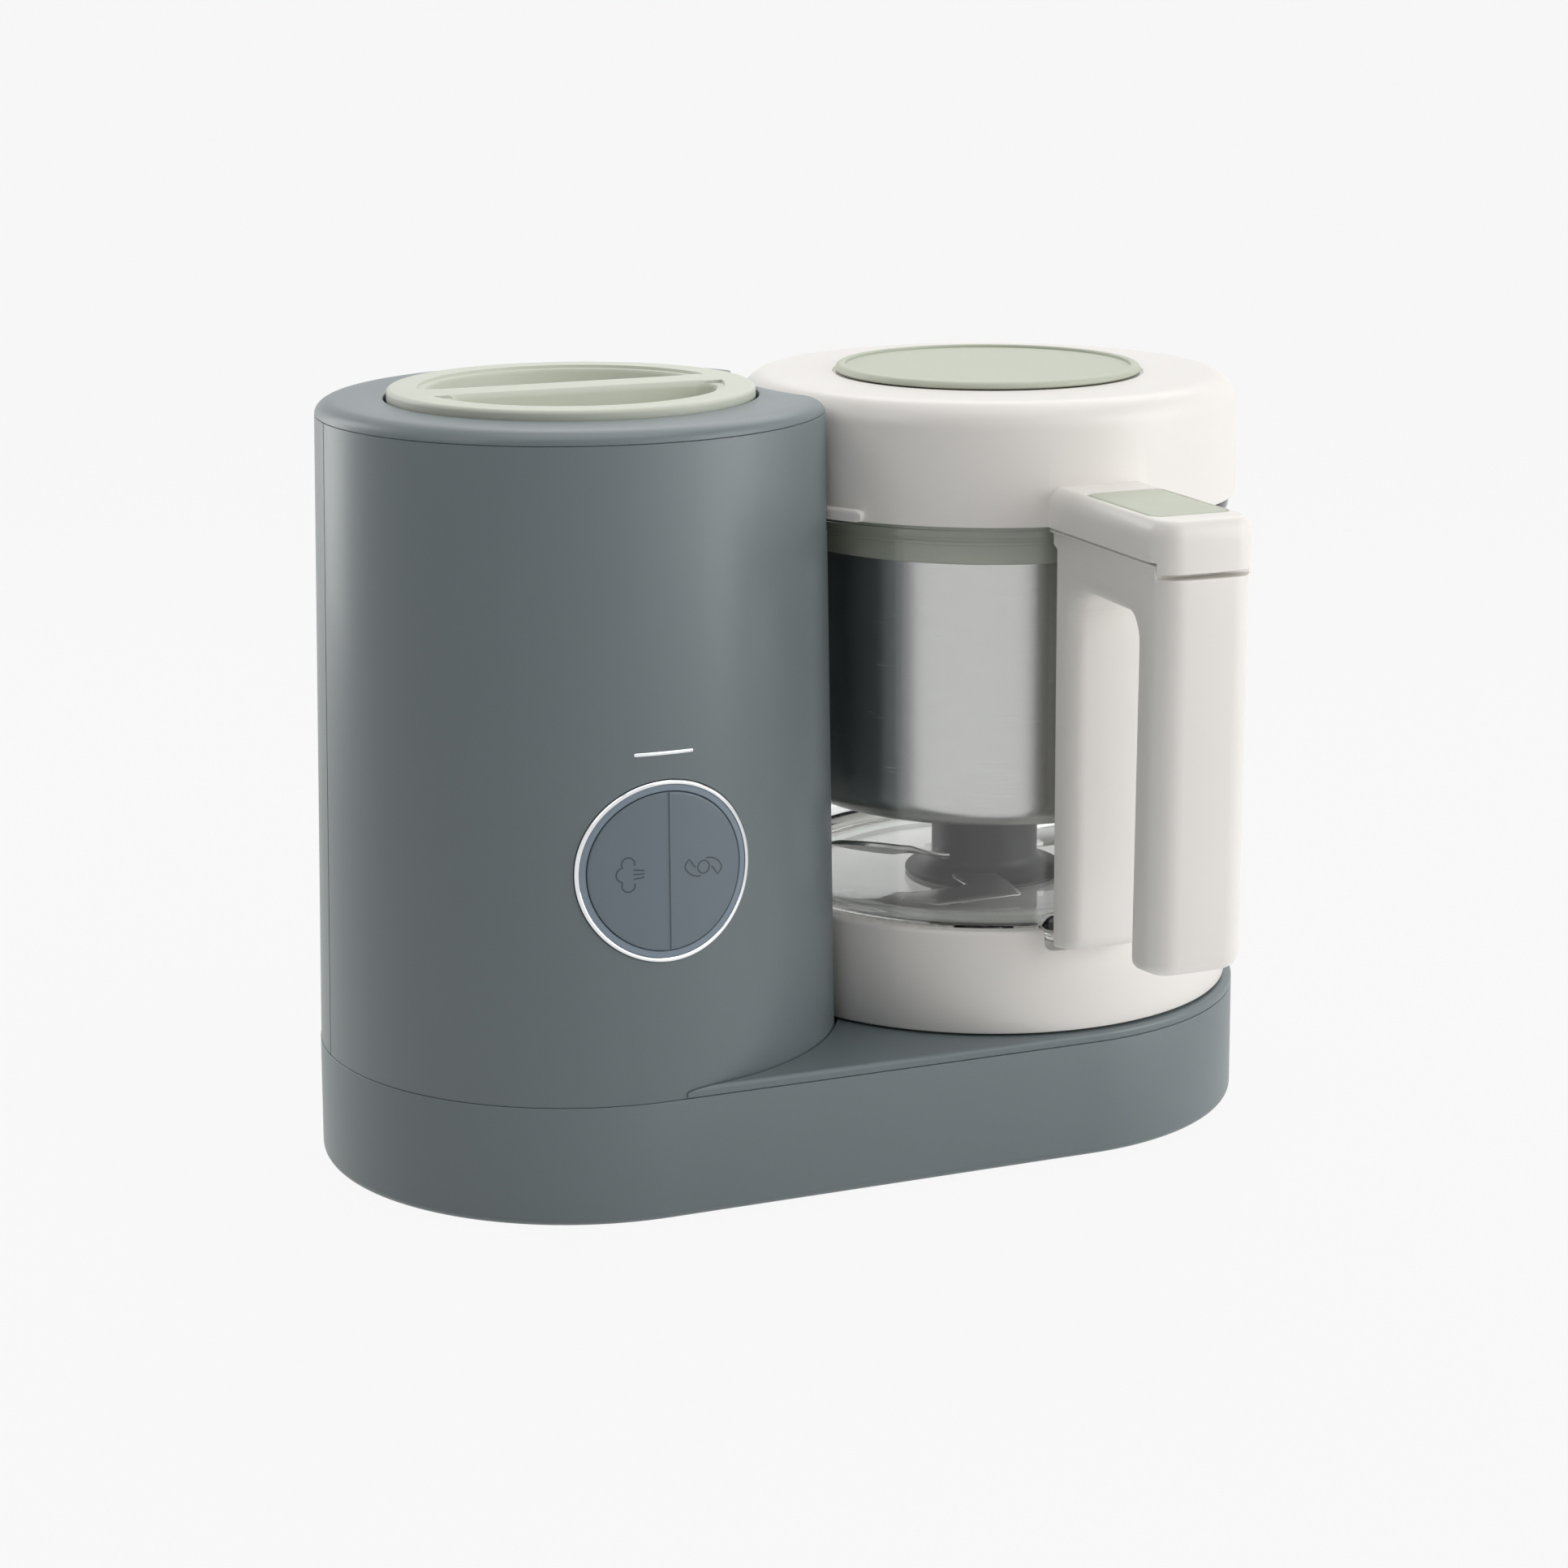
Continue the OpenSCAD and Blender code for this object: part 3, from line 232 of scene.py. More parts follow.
def plastic(name, color, roughness, grain=2600, bump=0.04, variation=0.03, coat=0.0, specular=0.5):
    """Moulded plastic: the skin group drives colour, roughness and a fine bump."""
    material, tree, shader = new_material(name)
    face = put(tree, "Group", {"Color": color, "Roughness": roughness, "Grain per m": grain,
                               "Variation": variation}, node_tree=SKIN).outputs
    rise = put(tree, "Bump", {"Strength": bump, "Distance": 0.0004, "Height": face["Height"]})
    wire(tree, shader, {"Base Color": face["Color"], "Roughness": face["Roughness"],
                        "Normal": rise.outputs["Normal"], "Coat Weight": coat, "Coat Roughness": 0.2,
                        "Specular IOR Level": specular})
    return material


slate = plastic("slate_plastic", srgb(108, 118, 121), 0.42, coat=0.08)

pan_low, pan_high = span("base_pan")
base_r = (pan_high[1] - pan_low[1]) / 2
tank = np.array([pan_low[0] + base_r, (pan_low[1] + pan_high[1]) / 2])
bowl = np.array([pan_high[0] - base_r, tank[1]])
gap = bowl[0] - tank[0]
# the walls, the seam between two mouldings, the edge at each side of it, the hairline of it that
# stays open, the pan's bottom edge, and how far its floor reaches in
WALL, SEAM, SEAM_EDGE, HAIRLINE, PAN_FILLET, FLOOR_IN = 2.5, 0.4, 0.2, 0.12, 3.0, 30


def race_track(inset, height):
    """Two half circles of radius base_r - inset joined by straight sides, at a height."""
    right = arc(bowl, base_r - inset, -90, 90, 72)
    left = arc(tank, base_r - inset, 90, 270, 72)
    return level(np.concatenate([right, left]), height)


def skin(outline, profile, closed=False, **more):
    """Stacks an outline along a profile of (inset, height) pairs."""
    return stack([outline(a, b) for a, b in profile], closed=closed, **more)


seam_z = pan_high[2] + SEAM - HAIRLINE
foot_z = pan_low[2]
pan_profile = np.concatenate([
    [[FLOOR_IN, foot_z]], fillet((0, foot_z), PAN_FILLET, 270, 180),
    fillet((0, seam_z), SEAM_EDGE, 180, 90, 3),
    [[WALL, seam_z], [WALL, foot_z + WALL], [FLOOR_IN, foot_z + WALL]],
])
base_pan = solid("base_pan", [skin(race_track, pan_profile)])


def rod_z(centre, radius, low, high, steps=32):
    """A closed upright rod."""
    return lathe([(0, low), (radius, low), (radius, high), (0, high)], centre, steps, closed=False)


def slot_box(centre, angle, near, far, half, low, high):
    """A slot's cutter: a box from near to far along a ray at an angle, half wide each way."""
    c, s = math.cos(math.radians(angle)), math.sin(math.radians(angle))
    plan = [(near, -half), (far, -half), (far, half), (near, half)]
    ring = [(centre[0] + a * c - b * s, centre[1] + a * s + b * c) for a, b in plan]
    return prism(ring, low, high)


def rod_y(x, z, radius, y0, y1, steps=48):
    """A closed rod along Y."""
    t = np.linspace(0, 2 * math.pi, steps, endpoint=False)
    return stack([np.stack([x + radius * np.cos(t), y + 0 * t, z + radius * np.sin(t)], 1) for y in (y0, y1)])


screw_low, screw_high = span("base_screws")
gland_z = sum(span("cord_gland"))[2] / 2
VENTS, VENT_NEAR, VENT_FAR, VENT_HALF, SCREW_R, GLAND_R = 9, 14, 30, 1.5, 3.2, 8.2
pan_cuts = []
for i in range(VENTS):
    pan_cuts.append(slot_box(bowl, i * 360 / VENTS, VENT_NEAR, VENT_FAR, VENT_HALF,
                             foot_z - 1, foot_z + WALL + 1))
for x in (screw_low[0] + SCREW_R, screw_high[0] - SCREW_R):
    for y in (screw_low[1] + SCREW_R, screw_high[1] - SCREW_R):
        pan_cuts.append(rod_z((x, y), SCREW_R + 0.2, foot_z - 1, foot_z + 2.2))
pan_cuts.append(rod_y(tank[0], gland_z, GLAND_R, tank[1] + base_r - 6, tank[1] + base_r + 2))
join(base_pan, pan_cuts, "DIFFERENCE")
dress(base_pan, "housing", slate, ["base_pan"])

rubber = plastic("foot_rubber", srgb(40, 40, 41), 0.75, grain=1800, bump=0.1)
frame["nodes"]["feet"].data.materials[0] = rubber

# --- Deck ---------------------------------------------------------------------------
# The slate cover of the base pan. Its edge is softly rounded, and it ends in a thin wedge
# where the round foot of the column meets the side of the base. Fixed by two of the screws.
deck_z, deck_top = pan_high[2] + SEAM, span("base_deck")[1][2]
DECK_EDGE, DECK_RIB = 1.5, 4
column_low, column_high = span("front_cover")
column_r = tank[0] - column_low[0]


def deck_outline(inset, height):
    """From the front wedge tip round the bowl's end to the back tip, and back along the
    column's foot. A tip is where the side, moved in by the inset, meets the foot's circle."""
    reach = column_r + SEAM
    side = base_r - inset
    tip = math.degrees(math.acos(side / reach)) if side < reach else 0.0
    outer = arc(bowl, side, -90, 90, 96)
    back = arc(tank, reach, 90 - tip, -90 + tip, 96)
    return level(np.concatenate([outer, back]), height)


deck_rings = [(2 * WALL, deck_z - DECK_RIB), (0.4, deck_z), (0, deck_z + 0.3)]
deck_rings += list(fillet((0, deck_top), DECK_EDGE, 180, 90, 6))
rings = np.array([deck_outline(a, b) for a, b in deck_rings])
half = rings.shape[1] // 2
across = [rings[-1][:half][:, None] * (1 - s) + rings[-1][half:][::-1][:, None] * s for s in (0, 0.5, 1)]
under = np.stack([rings[0][:half], rings[0][half:][::-1]], 1)
deck = solid("base_deck", [stack(rings, caps=False), stack(np.concatenate(across, 1), wrap=False, caps=False),
                           stack(under, wrap=False, caps=False)])
dress(deck, "housing", slate, ["base_deck"])

# --- Column -------------------------------------------------------------------------
# Two drafted slate shells with hairline seams: the front cover carries the control, the
# rear housing the hollow that the bowl stands in. Both are screwed down to the base pan.
top_low, top_high = span("top_cover")
column_top, cover_z = top_high[2], column_high[2] + SEAM
top_seam = cover_z - HAIRLINE
top_r = tank[0] - top_low[0]
CORNER, LID_GAP = 0.8, 3.0
# degrees: half the seam between the shells at the far side, and the front shell's lip in the hollow
SHELL_GAP, LIP = 0.2, 2.2
lid_low, lid_high = span("lid_shell")
lid_r = lid_high[0] - bowl[0]
recess_r = lid_r + LID_GAP


def column_radius(z):
    """Outer radius of the column: straight draft from its foot to the top seam."""
    return column_r + (top_r - column_r) * (z - deck_z) / (cover_z - deck_z)


def crossing(reach, hollow):
    """Where a circle about the tank axis crosses one about the bowl axis, by the law of cosines:
    the point, its bearing from the tank axis, and its bearing from the bowl axis, in degrees."""
    angle = math.acos((gap**2 + reach**2 - hollow**2) / (2 * gap * reach))
    point = tank + reach * np.array([math.cos(angle), math.sin(angle)])
    turn = math.pi - math.atan2(point[1] - bowl[1], bowl[0] - point[0])
    return point, math.degrees(angle), math.degrees(turn)


def shell_outline(inset, height, part):
    """Plan of a column shell, moved in by an inset. The round wall runs about the tank axis and
    the hollow about the bowl axis; a small arc that touches both rounds the corner."""
    reach, hollow = column_radius(height) - inset, recess_r + inset
    middle, wall_end, recess_end = crossing(column_radius(height) - CORNER, recess_r + CORNER)
    bend = max(CORNER - inset, 0.0)
    if bend == 0:
        middle, wall_end, recess_end = crossing(reach, hollow)
    corner = arc(middle, bend, wall_end, recess_end - 180, 5)
    wall = arc(tank, reach, wall_end, 180 - SHELL_GAP, 110)[::-1]
    run_end, run_steps = (recess_end + LIP, 3) if part == "front" else (360 - recess_end - LIP - 0.3, 40)
    plan = np.concatenate([wall, corner, arc(bowl, hollow, recess_end, run_end, run_steps)])
    if part == "front":
        plan[:, 1] = 2 * tank[1] - plan[:, 1]
    return level(plan, height)


shell_profile = np.concatenate([
    fillet((0, deck_z), SEAM_EDGE, 270, 180, 3),
    fillet((0, top_seam), SEAM_EDGE, 180, 90, 3), [[WALL, top_seam], [WALL, deck_z]],
])


def shell(node, part):
    """One of the two shells: its outline carried up the profile of the wall."""
    return solid(node, [skin(lambda a, b: shell_outline(a, b, part), shell_profile, closed=True, wrap=False)])


def rounded(corners, steps=6):
    """Closed outline through (a, b, radius) corners: each corner becomes the arc that touches
    its two sides, its points swung from one touching point to the other about the arc's centre."""
    at = np.array([c[:2] for c in corners], float)
    out = []
    for i, (_, _, r) in enumerate(corners):
        u, v = at[i - 1] - at[i], at[(i + 1) % len(at)] - at[i]
        u, v = u / np.linalg.norm(u), v / np.linalg.norm(v)
        half = math.acos(np.clip(u @ v, -1, 1)) / 2
        middle = at[i] + (u + v) / np.linalg.norm(u + v) * r / math.sin(half)
        a, b = at[i] + u * r / math.tan(half) - middle, at[i] + v * r / math.tan(half) - middle
        s, swing = np.linspace(0, 1, steps + 1)[:, None], math.pi - 2 * half
        out.append(middle + (np.sin((1 - s) * swing) * a + np.sin(s * swing) * b) / math.sin(swing))
    return np.concatenate(out)


front_cover, rear_housing = shell("front_cover", "front"), shell("rear_housing", "rear")
ring_low, ring_high = span("chrome_ring")
dial_z = (ring_low[2] + ring_high[2]) / 2
ring_r = (ring_high[2] - ring_low[2]) / 2
# the notch that the lid's lug swings in; the lid's skirt starts above the tip of its arm's hook
NOTCH_DEPTH, NOTCH_BELOW, NOTCH_ABOVE, HOOK_H = 1.6, 3.3, 3.6, 3.4
lid_z = lid_low[2] + HOOK_H
notch_in, notch_out, notch_low = recess_r - 6, recess_r + NOTCH_DEPTH, lid_z - NOTCH_BELOW
notch = lathe(rounded([(notch_in, notch_low, 0.5), (notch_out, notch_low, 0.8),
                       (notch_out, lid_z + NOTCH_ABOVE - 1, 0.8),
                       (notch_in, lid_z + NOTCH_ABOVE + 2, 0.5)]), bowl)
join(front_cover, [rod_y(tank[0], dial_z, ring_r + 0.2, tank[1] - 100, tank[1], 96), notch], "DIFFERENCE")
# degrees between the vents at the back, their half width, and their ends above the deck
BACK_VENT_STEP, BACK_VENT_HALF, BACK_VENT_LOW, BACK_VENT_HIGH = 7, 1.3, 12, 32
vents = []
for i in range(-3, 4):
    vents.append(slot_box(tank, 90 + i * BACK_VENT_STEP, column_r - 8, column_r + 3, BACK_VENT_HALF,
                          deck_z + BACK_VENT_LOW, deck_z + BACK_VENT_HIGH))
join(rear_housing, vents, "DIFFERENCE")
dress(front_cover, "housing", slate, ["front_cover"])
dress(rear_housing, "housing", slate, ["rear_housing"])

# --- Column top ---------------------------------------------------------------------
# Slate cover pressed onto the two column shells, with a soft shoulder that runs out at the
# corners of the hollow, and a round mouth in which the boiler cap sinks.
cap_low, cap_high = span("tank_cap")
cap_r = cap_high[0] - tank[0]
SHOULDER_W, MOUTH_EDGE, MOUTH_GAP, MOUTH_DEEP = 7.0, 0.5, 1.05, 6.5
mouth_r = cap_r + MOUTH_GAP
# corner radius of the plan at the seam, how much wider it is at the top, and how far the inner
# edge of the seam stands out into the hollow's side
BEND, BEND_GROWS, HOLLOW_IN = 0.8, 2.4, 0.4


def cover_outline(inset, hollow_inset, height, bend):
    """Plan of the top cover: the round wall about the tank axis moved in by one inset, the
    hollow about the bowl axis moved out by another, and corner arcs that touch both."""
    reach, hollow = top_r - inset - bend, recess_r + hollow_inset + bend
    middle, angle, turn = crossing(reach, hollow)
    wall = arc(tank, reach + bend, 180, angle, 90)
    corner = arc(middle, bend, angle, turn - 180, 8)
    run = arc(bowl, hollow - bend, turn, 180, 30)
    upper = np.concatenate([wall[:-1], corner, run[1:]])
    lower = upper[1:-1][::-1].copy()
    lower[:, 1] = 2 * tank[1] - lower[:, 1]
    return level(np.concatenate([upper, lower]), height)


def mouth_ring(radius, height, like):
    """A circle about the tank axis with one point in the direction of each point of an outline."""
    way = like[:, :2] - tank
    way = way / np.linalg.norm(way, axis=1)[:, None]
    return level(tank + radius * way, height)


shoulder_h = column_top - cover_z
cover_rings = [cover_outline(SEAM_EDGE, 0, cover_z, BEND), cover_outline(0, 0, cover_z + SEAM_EDGE, BEND)]
for t in np.linspace(0, 90, 11)[1:]:
    s = math.radians(t)
    inset, rise = SHOULDER_W * (1 - math.cos(s)), shoulder_h * math.sin(s)
    height = max(cover_z + rise, cover_z + 0.5)
    cover_rings.append(cover_outline(inset, MOUTH_EDGE * (t / 90) ** 3, height, BEND + BEND_GROWS * t / 90))
last = cover_rings[-1]
for t in (90, 60, 30, 0):
    s = math.radians(t)
    cover_rings.append(mouth_ring(mouth_r + MOUTH_EDGE * (1 - math.cos(s)),
                                  column_top - MOUTH_EDGE * (1 - math.sin(s)), last))
cover_rings.append(mouth_ring(mouth_r, column_top - MOUTH_DEEP, last))
cover_rings.append(cover_outline(WALL, HOLLOW_IN, cover_z, BEND))
top_cover = solid("top_cover", [stack(cover_rings, closed=True)])
dress(top_cover, "housing", slate, ["top_cover"])

# --- Boiler cap ---------------------------------------------------------------------
# Screw cap moulded in pale sage plastic. Two finger wells leave a bar to turn it by, and
# its flange lies on a silicone ring over the mouth of the boiler.
cap_top, cap_bottom = cap_high[2], cap_low[2]
CAP_EDGE, FLANGE_EDGE, FLANGE_T, CUP_T, BAR_HALF = 1.5, 0.5, 5.6, 1.6, 8.5
# the finger wells: radius, depth, corner in plan and at the floor, and the step round their rim
WELL_R, WELL_DEEP, WELL_CORNER, WELL_BEND, WELL_STEP = 48.3, 14.0, 5.0, 4, 1.0
flange_z, well_floor = cap_top - FLANGE_T, cap_top - WELL_DEEP
cap_profile = np.concatenate([
    [[0, cap_bottom], [WELL_R + CUP_T, cap_bottom], [WELL_R + CUP_T, flange_z]],
    fillet((cap_r, flange_z), FLANGE_EDGE, 270, 360, 3),
    fillet((cap_r, cap_top), CAP_EDGE, 0, 90, 6), [[0, cap_top]],
])


def well_outline(inset, height, side):
    """D of a finger well: a chord beside the grip bar and an arc about the axis, moved in by
    an inset, with rounded corners where they meet."""
    r, chord = WELL_R - inset, BAR_HALF + inset
    corner = WELL_CORNER - min(inset, WELL_CORNER / 2)
    c = math.asin((chord + corner) / (r - corner))
    mid = (r - corner) * np.array([math.cos(c), math.sin(c)])
    outer = arc((0, 0), r, math.degrees(c), 180 - math.degrees(c), 60)
    right = arc(mid, corner, -90, math.degrees(c), 8)
    left = right[::-1] * (-1, 1)
    return level(np.concatenate([right[:-1], outer, left[1:]]) * (1, side) + tank, height)


well_profile = np.concatenate([
    fillet((0, well_floor), WELL_BEND, 270, 180, 6),
    [[0, cap_top - 2.2], [-0.3, cap_top - 1.2], [-1.4, cap_top - 0.1], [-2.6, cap_top + 1.0]],
])
step_z = cap_top - WELL_STEP
step_cut = lathe([(0, step_z), (WELL_R + 2.6, step_z), (WELL_R + 3.1, cap_top + 1), (0, cap_top + 1)], tank)
cap = solid("tank_cap", [lathe(cap_profile, tank)])
bar_plan = [(-60, -BAR_HALF), (60, -BAR_HALF), (60, BAR_HALF), (-60, BAR_HALF)]
bar_box = prism(tank + bar_plan, cap_top - 3, cap_top + 3)
step_tool = join(solid("step_tool", [step_cut]), [bar_box], "DIFFERENCE")


def parts_of(obj):
    """The vertices (in millimetres) and faces of an object, which is then removed."""
    verts = np.array([v.co[:] for v in obj.data.vertices]) / MM
    faces = [list(p.vertices) for p in obj.data.polygons]
    bpy.data.objects.remove(obj)
    return verts, faces


join(cap, [parts_of(step_tool)], "DIFFERENCE")
for side in (-1, 1):
    join(cap, [skin(lambda a, b: well_outline(a, b, side), well_profile)], "DIFFERENCE")
pale_sage = plastic("pale_sage_plastic", srgb(208, 212, 198), 0.5, grain=2200, bump=0.03)
dress(cap, "tank_cap", pale_sage, ["tank_cap"])

# --- Control ------------------------------------------------------------------------
# A frosted rocker on an upright pivot, in a band of clear plastic and a polished ring; the band
# has a faint painted glow that lifts the shade in the deep gap round the rocker. All three follow
# the curve of the column; a small chrome bar sits above.
def on_face(x, z, proud):
    """Maps plane coordinates and a height above the wall to the drafted column: the point at
    that x and z on the cone whose radius is the wall's plus the height."""
    x, z, proud = np.broadcast_arrays(np.asarray(x, float), z, proud)
    r = column_radius(z) + proud
    return np.stack([tank[0] + x, tank[1] - np.sqrt(r**2 - x**2), z], -1)


def face_ring(profile, steps=128, closed=True):
    """A (radius, proud) profile carried round the control's centre and laid on the column."""
    t = np.linspace(0, 2 * math.pi, steps, endpoint=False)
    p = np.asarray(profile, float)
    rings = on_face(p[:, :1] * np.cos(t), dial_z + p[:, :1] * np.sin(t), p[:, 1:] + 0 * t)
    return stack(rings, closed=closed, caps=False)


RING_IN, BAND_IN, ROCKER_R = 28.15, 26.1, 25.8
RING_PROUD, BAND_PROUD, ROCKER_PROUD = 0.9, 0.3, 0.6
half_ring = (ring_r - RING_IN) / 2
ring_profile = np.concatenate([
    [[RING_IN, -2.5], [RING_IN, RING_PROUD - half_ring]],
    arc((RING_IN + half_ring, RING_PROUD - half_ring), half_ring, 180, 0, 10),
    [[ring_r, -2.5]],
])
chrome_ring = solid("chrome_ring", [face_ring(ring_profile)], 50)
band_profile = [(BAND_IN, -4), (BAND_IN, BAND_PROUD - 0.2), (BAND_IN + 0.2, BAND_PROUD),
                (RING_IN - 0.15, BAND_PROUD), (RING_IN - 0.05, BAND_PROUD - 0.1), (RING_IN - 0.05, -4)]
light_ring = solid("light_ring", [face_ring(band_profile)])
edge_arc = fillet((ROCKER_R, ROCKER_PROUD), 0.5, 90, 0, 5)
rocker_profile = np.concatenate([[[0, ROCKER_PROUD]], [[r, ROCKER_PROUD] for r in np.linspace(3, 24, 8)],
                                 edge_arc, [[ROCKER_R, -4.4], [0, -4.4]]])
rocker = solid("rocker", [face_ring(rocker_profile, closed=False)])
GROOVE_W, GROOVE_DEEP = 1.5, 0.35
groove_z = dial_z + np.linspace(-ROCKER_R - 1, ROCKER_R + 1, 24)
groove_x = np.array([-1, 1, 1, -1]) * GROOVE_W / 2
groove = [on_face(groove_x, z, [ROCKER_PROUD - GROOVE_DEEP] * 2 + [3, 3]) for z in groove_z]
join(rocker, [stack(groove)], "DIFFERENCE")
STEM_HALF, STEM_DEEP, STEM_UP, PIN_R, PIN_UP = 3, 6, 10, 2, 16
stem_y = tank[1] - column_radius(dial_z) + 2.5
stem_left, stem_right = tank[0] - STEM_HALF, tank[0] + STEM_HALF
stem_plan = [(stem_left, stem_y), (stem_right, stem_y), (stem_right, stem_y + STEM_DEEP),
             (stem_left, stem_y + STEM_DEEP)]
stem = prism(stem_plan, dial_z - STEM_UP, dial_z + STEM_UP)
pin = rod_z((tank[0], stem_y + STEM_DEEP), PIN_R, dial_z - PIN_UP, dial_z + PIN_UP)


def ribbon(points, width, low, high):
    """A flat line on the control: (x, z) points of a path, offset to both sides by half the
    width along its normals, and raised from one height above the wall to another."""
    p = np.asarray(points, float)
    along = np.gradient(p, axis=0)
    along /= np.linalg.norm(along, axis=1)[:, None] + 1e-12
    side = np.stack([-along[:, 1], along[:, 0]], 1) * width / 2
    a, b = p + side, p - side
    rings = [on_face(q[:, 0], dial_z + q[:, 1], h) for q, h in ((a, low), (a, high), (b, high), (b, low))]
    return stack(np.stack(rings, 1), wrap=True)


def bump_line(centre, radius, start, end):
    """A circular bend of an icon's line."""
    return arc(centre, radius, start, end, 18)


LINE_W, LINE_LOW, LINE_HIGH = 0.45, 0.5, 0.66
CLOUD_X, ROTOR_X = -13.1, 12.4
cloud = np.concatenate([bump_line((CLOUD_X, 3.5), 2.1, -16, 212),
                        bump_line((CLOUD_X - 1.5, 0), 2.35, 118, 242),
                        bump_line((CLOUD_X, -3.5), 2.1, 148, 376)])
jets = [[(CLOUD_X + 1.7, 1.5 * k), (CLOUD_X + 3.4, 1.3 * k), (CLOUD_X + 5.2, 1.1 * k)] for k in (-1, 0, 1)]
rotor_marks = [bump_line((ROTOR_X, 0), 2.1, 0, 360)]
for side in (-1, 1):
    leaf = np.concatenate([bump_line((1.6, -2.6), 5.4, 96, 22), [(6.3, -1.8), (5.0, -3.1), (4.3, -1.9)],
                           bump_line((0.2, -3.6), 4.3, 24, 52)])
    rotor_marks.append(leaf * side + (ROTOR_X, 0))
icons = solid("control_marks", [ribbon(p, LINE_W, LINE_LOW, LINE_HIGH) for p in [cloud, *jets, *rotor_marks]])
rocker_stem = solid("rocker_stem", [stem, pin])


def metal(name, color, roughness, streak, bump, tint=0.94):
    """Metal with fine marks: a noise stretched along or round the part shifts the roughness by
    an eighth each way, darkens the colour down to the tint's share, and lifts a faint bump. The
    stretch is the scale along X, Y and Z."""
    material, tree, shader = new_material(name)
    place = put(tree, "TexCoord")
    turn = put(tree, "Mapping", {"Vector": place.outputs["Object"], "Scale": streak})
    marks = put(tree, "TexNoise", {"Vector": turn.outputs["Vector"], "Scale": 1, "Detail": 4}).outputs["Fac"]
    swing = put(tree, "MapRange", {"Value": marks, "To Min": roughness * 0.88, "To Max": roughness * 1.12})
    rise = put(tree, "Bump", {"Strength": bump, "Distance": 0.0003, "Height": marks})
    dim = [c * tint for c in color[:3]] + [1]
    tone = put(tree, "Mix", {"Factor": marks, "A": dim, "B": color}, data_type="RGBA")
    wire(tree, shader, {"Base Color": tone.outputs["Result"], "Roughness": swing.outputs["Result"],
                        "Normal": rise.outputs["Normal"], "Metallic": 1})
    return material


chrome = metal("chrome", srgb(232, 234, 236), 0.1, (300, 300, 300), 0.02)
# the band's emission is a painted glow: it lightens the shade in the deep gap round the rocker
light_pipe = plastic("light_pipe", srgb(118, 132, 144), 0.3, grain=1800, bump=0.02, coat=0.2)
wire(light_pipe.node_tree, light_pipe.node_tree.nodes["Principled BSDF"],
     {"Emission Color": srgb(128, 141, 152), "Emission Strength": 0.1})
dial_plastic = plastic("dial_plastic", srgb(105, 118, 126), 0.36, grain=3200, bump=0.04, coat=0.15)
mark_ink = plastic("mark_ink", srgb(66, 76, 84), 0.5)
dress(chrome_ring, "housing", chrome, ["chrome_ring"])
dress(light_ring, "housing", light_pipe, ["light_ring"])
dress(rocker, "rocker", dial_plastic, ["rocker"])
dress(rocker_stem, "rocker", dial_plastic)
dress(icons, "rocker", mark_ink)

bar_low, bar_high = span("trim_bar")
# the bar stands a little to the right of the model's bar and above it, and is not as tall
BAR_SHIFT, BAR_THINNER, BAR_PROUD = (2.4, 0, 2.1), 0.6, 0.45
bar_mid = (bar_low + bar_high) / 2 + BAR_SHIFT
bar_half = (bar_high[0] - bar_low[0]) / 2, (bar_high[2] - bar_low[2]) / 2 - BAR_THINNER


def bar_rings(steps=40):
    """The bar as sections across its length. A section reaches as far up and down as the stadium
    outline does there, and stands above the wall by the square root of the sine of the angle
    round it; its two last points lie under the wall."""
    a, b = bar_half
    x = -a * np.cos(np.linspace(0, math.pi, steps))
    past = np.clip((np.abs(x) - (a - b)) / b, 0, 0.9999)
    high = b * np.sqrt(1 - past**2)
    t = np.linspace(0, math.pi, 13)
    z = high[:, None] * np.append(np.cos(t), [-1, 1])
    ends_sink = np.minimum(high / b * 1.5, 1)[:, None]
    proud = np.append(BAR_PROUD * np.sin(t) ** 0.5, [-1, -1]) * np.where(np.arange(15) < 13, ends_sink, 1)
    return on_face(bar_mid[0] - tank[0] + x[:, None] + 0 * z, bar_mid[2] + z, proud)


trim_bar = solid("trim_bar", [stack(bar_rings())], 60)
dress(trim_bar, "housing", chrome, ["trim_bar"])

# --- Bowl seat ----------------------------------------------------------------------
# Cream collar, screwed up from under the deck, that the foot of the glass drops into. Its
# rim is notched at the front for the leg of the handle.
collar_high = span("bowl_collar")[1]
collar_top, collar_r = collar_high[2], collar_high[0] - bowl[0]
collar_z = deck_top + 2 * SEAM
glass_low, glass_high = span("bowl_glass")
# the glass: its radius, how far its foot draws in, and its play in the collar; the collar: its
# skirt, how far its plate lies under the glass, and the hole in the plate for the motor's seal
GLASS_R, GLASS_FOOT_IN, PLAY, SKIRT_W, PLATE_DOWN, SEAL_R = 83.4, 4.4, 1.0, 3.5, 4.8, 17.0
foot_r, skirt_in = GLASS_R - GLASS_FOOT_IN, collar_r - SKIRT_W
collar_in, plate_z = foot_r + PLAY, glass_low[2] - PLATE_DOWN
collar_profile = np.concatenate([
    [[skirt_in, collar_z]], fillet((collar_r, collar_z), 0.5, 270, 360, 3),
    fillet((collar_r, collar_top), 1.5, 0, 90, 6),
    fillet((collar_in, collar_top), 0.8, 90, 180, 4),
    [[collar_in, plate_z + WALL], [SEAL_R, plate_z + WALL], [SEAL_R, plate_z], [skirt_in, plate_z]],
])
NOTCH_HALF, NOTCH_DROP = 17.8, 7.0
collar = solid("bowl_collar", [lathe(collar_profile, bowl, 192)])


def plate_y(outline, y0, y1):
    """A closed (x, z) outline carried along Y from y0 to y1."""
    p = np.asarray(outline, float)
    return stack([np.column_stack([p[:, 0], np.full(len(p), y), p[:, 1]]) for y in (y0, y1)])


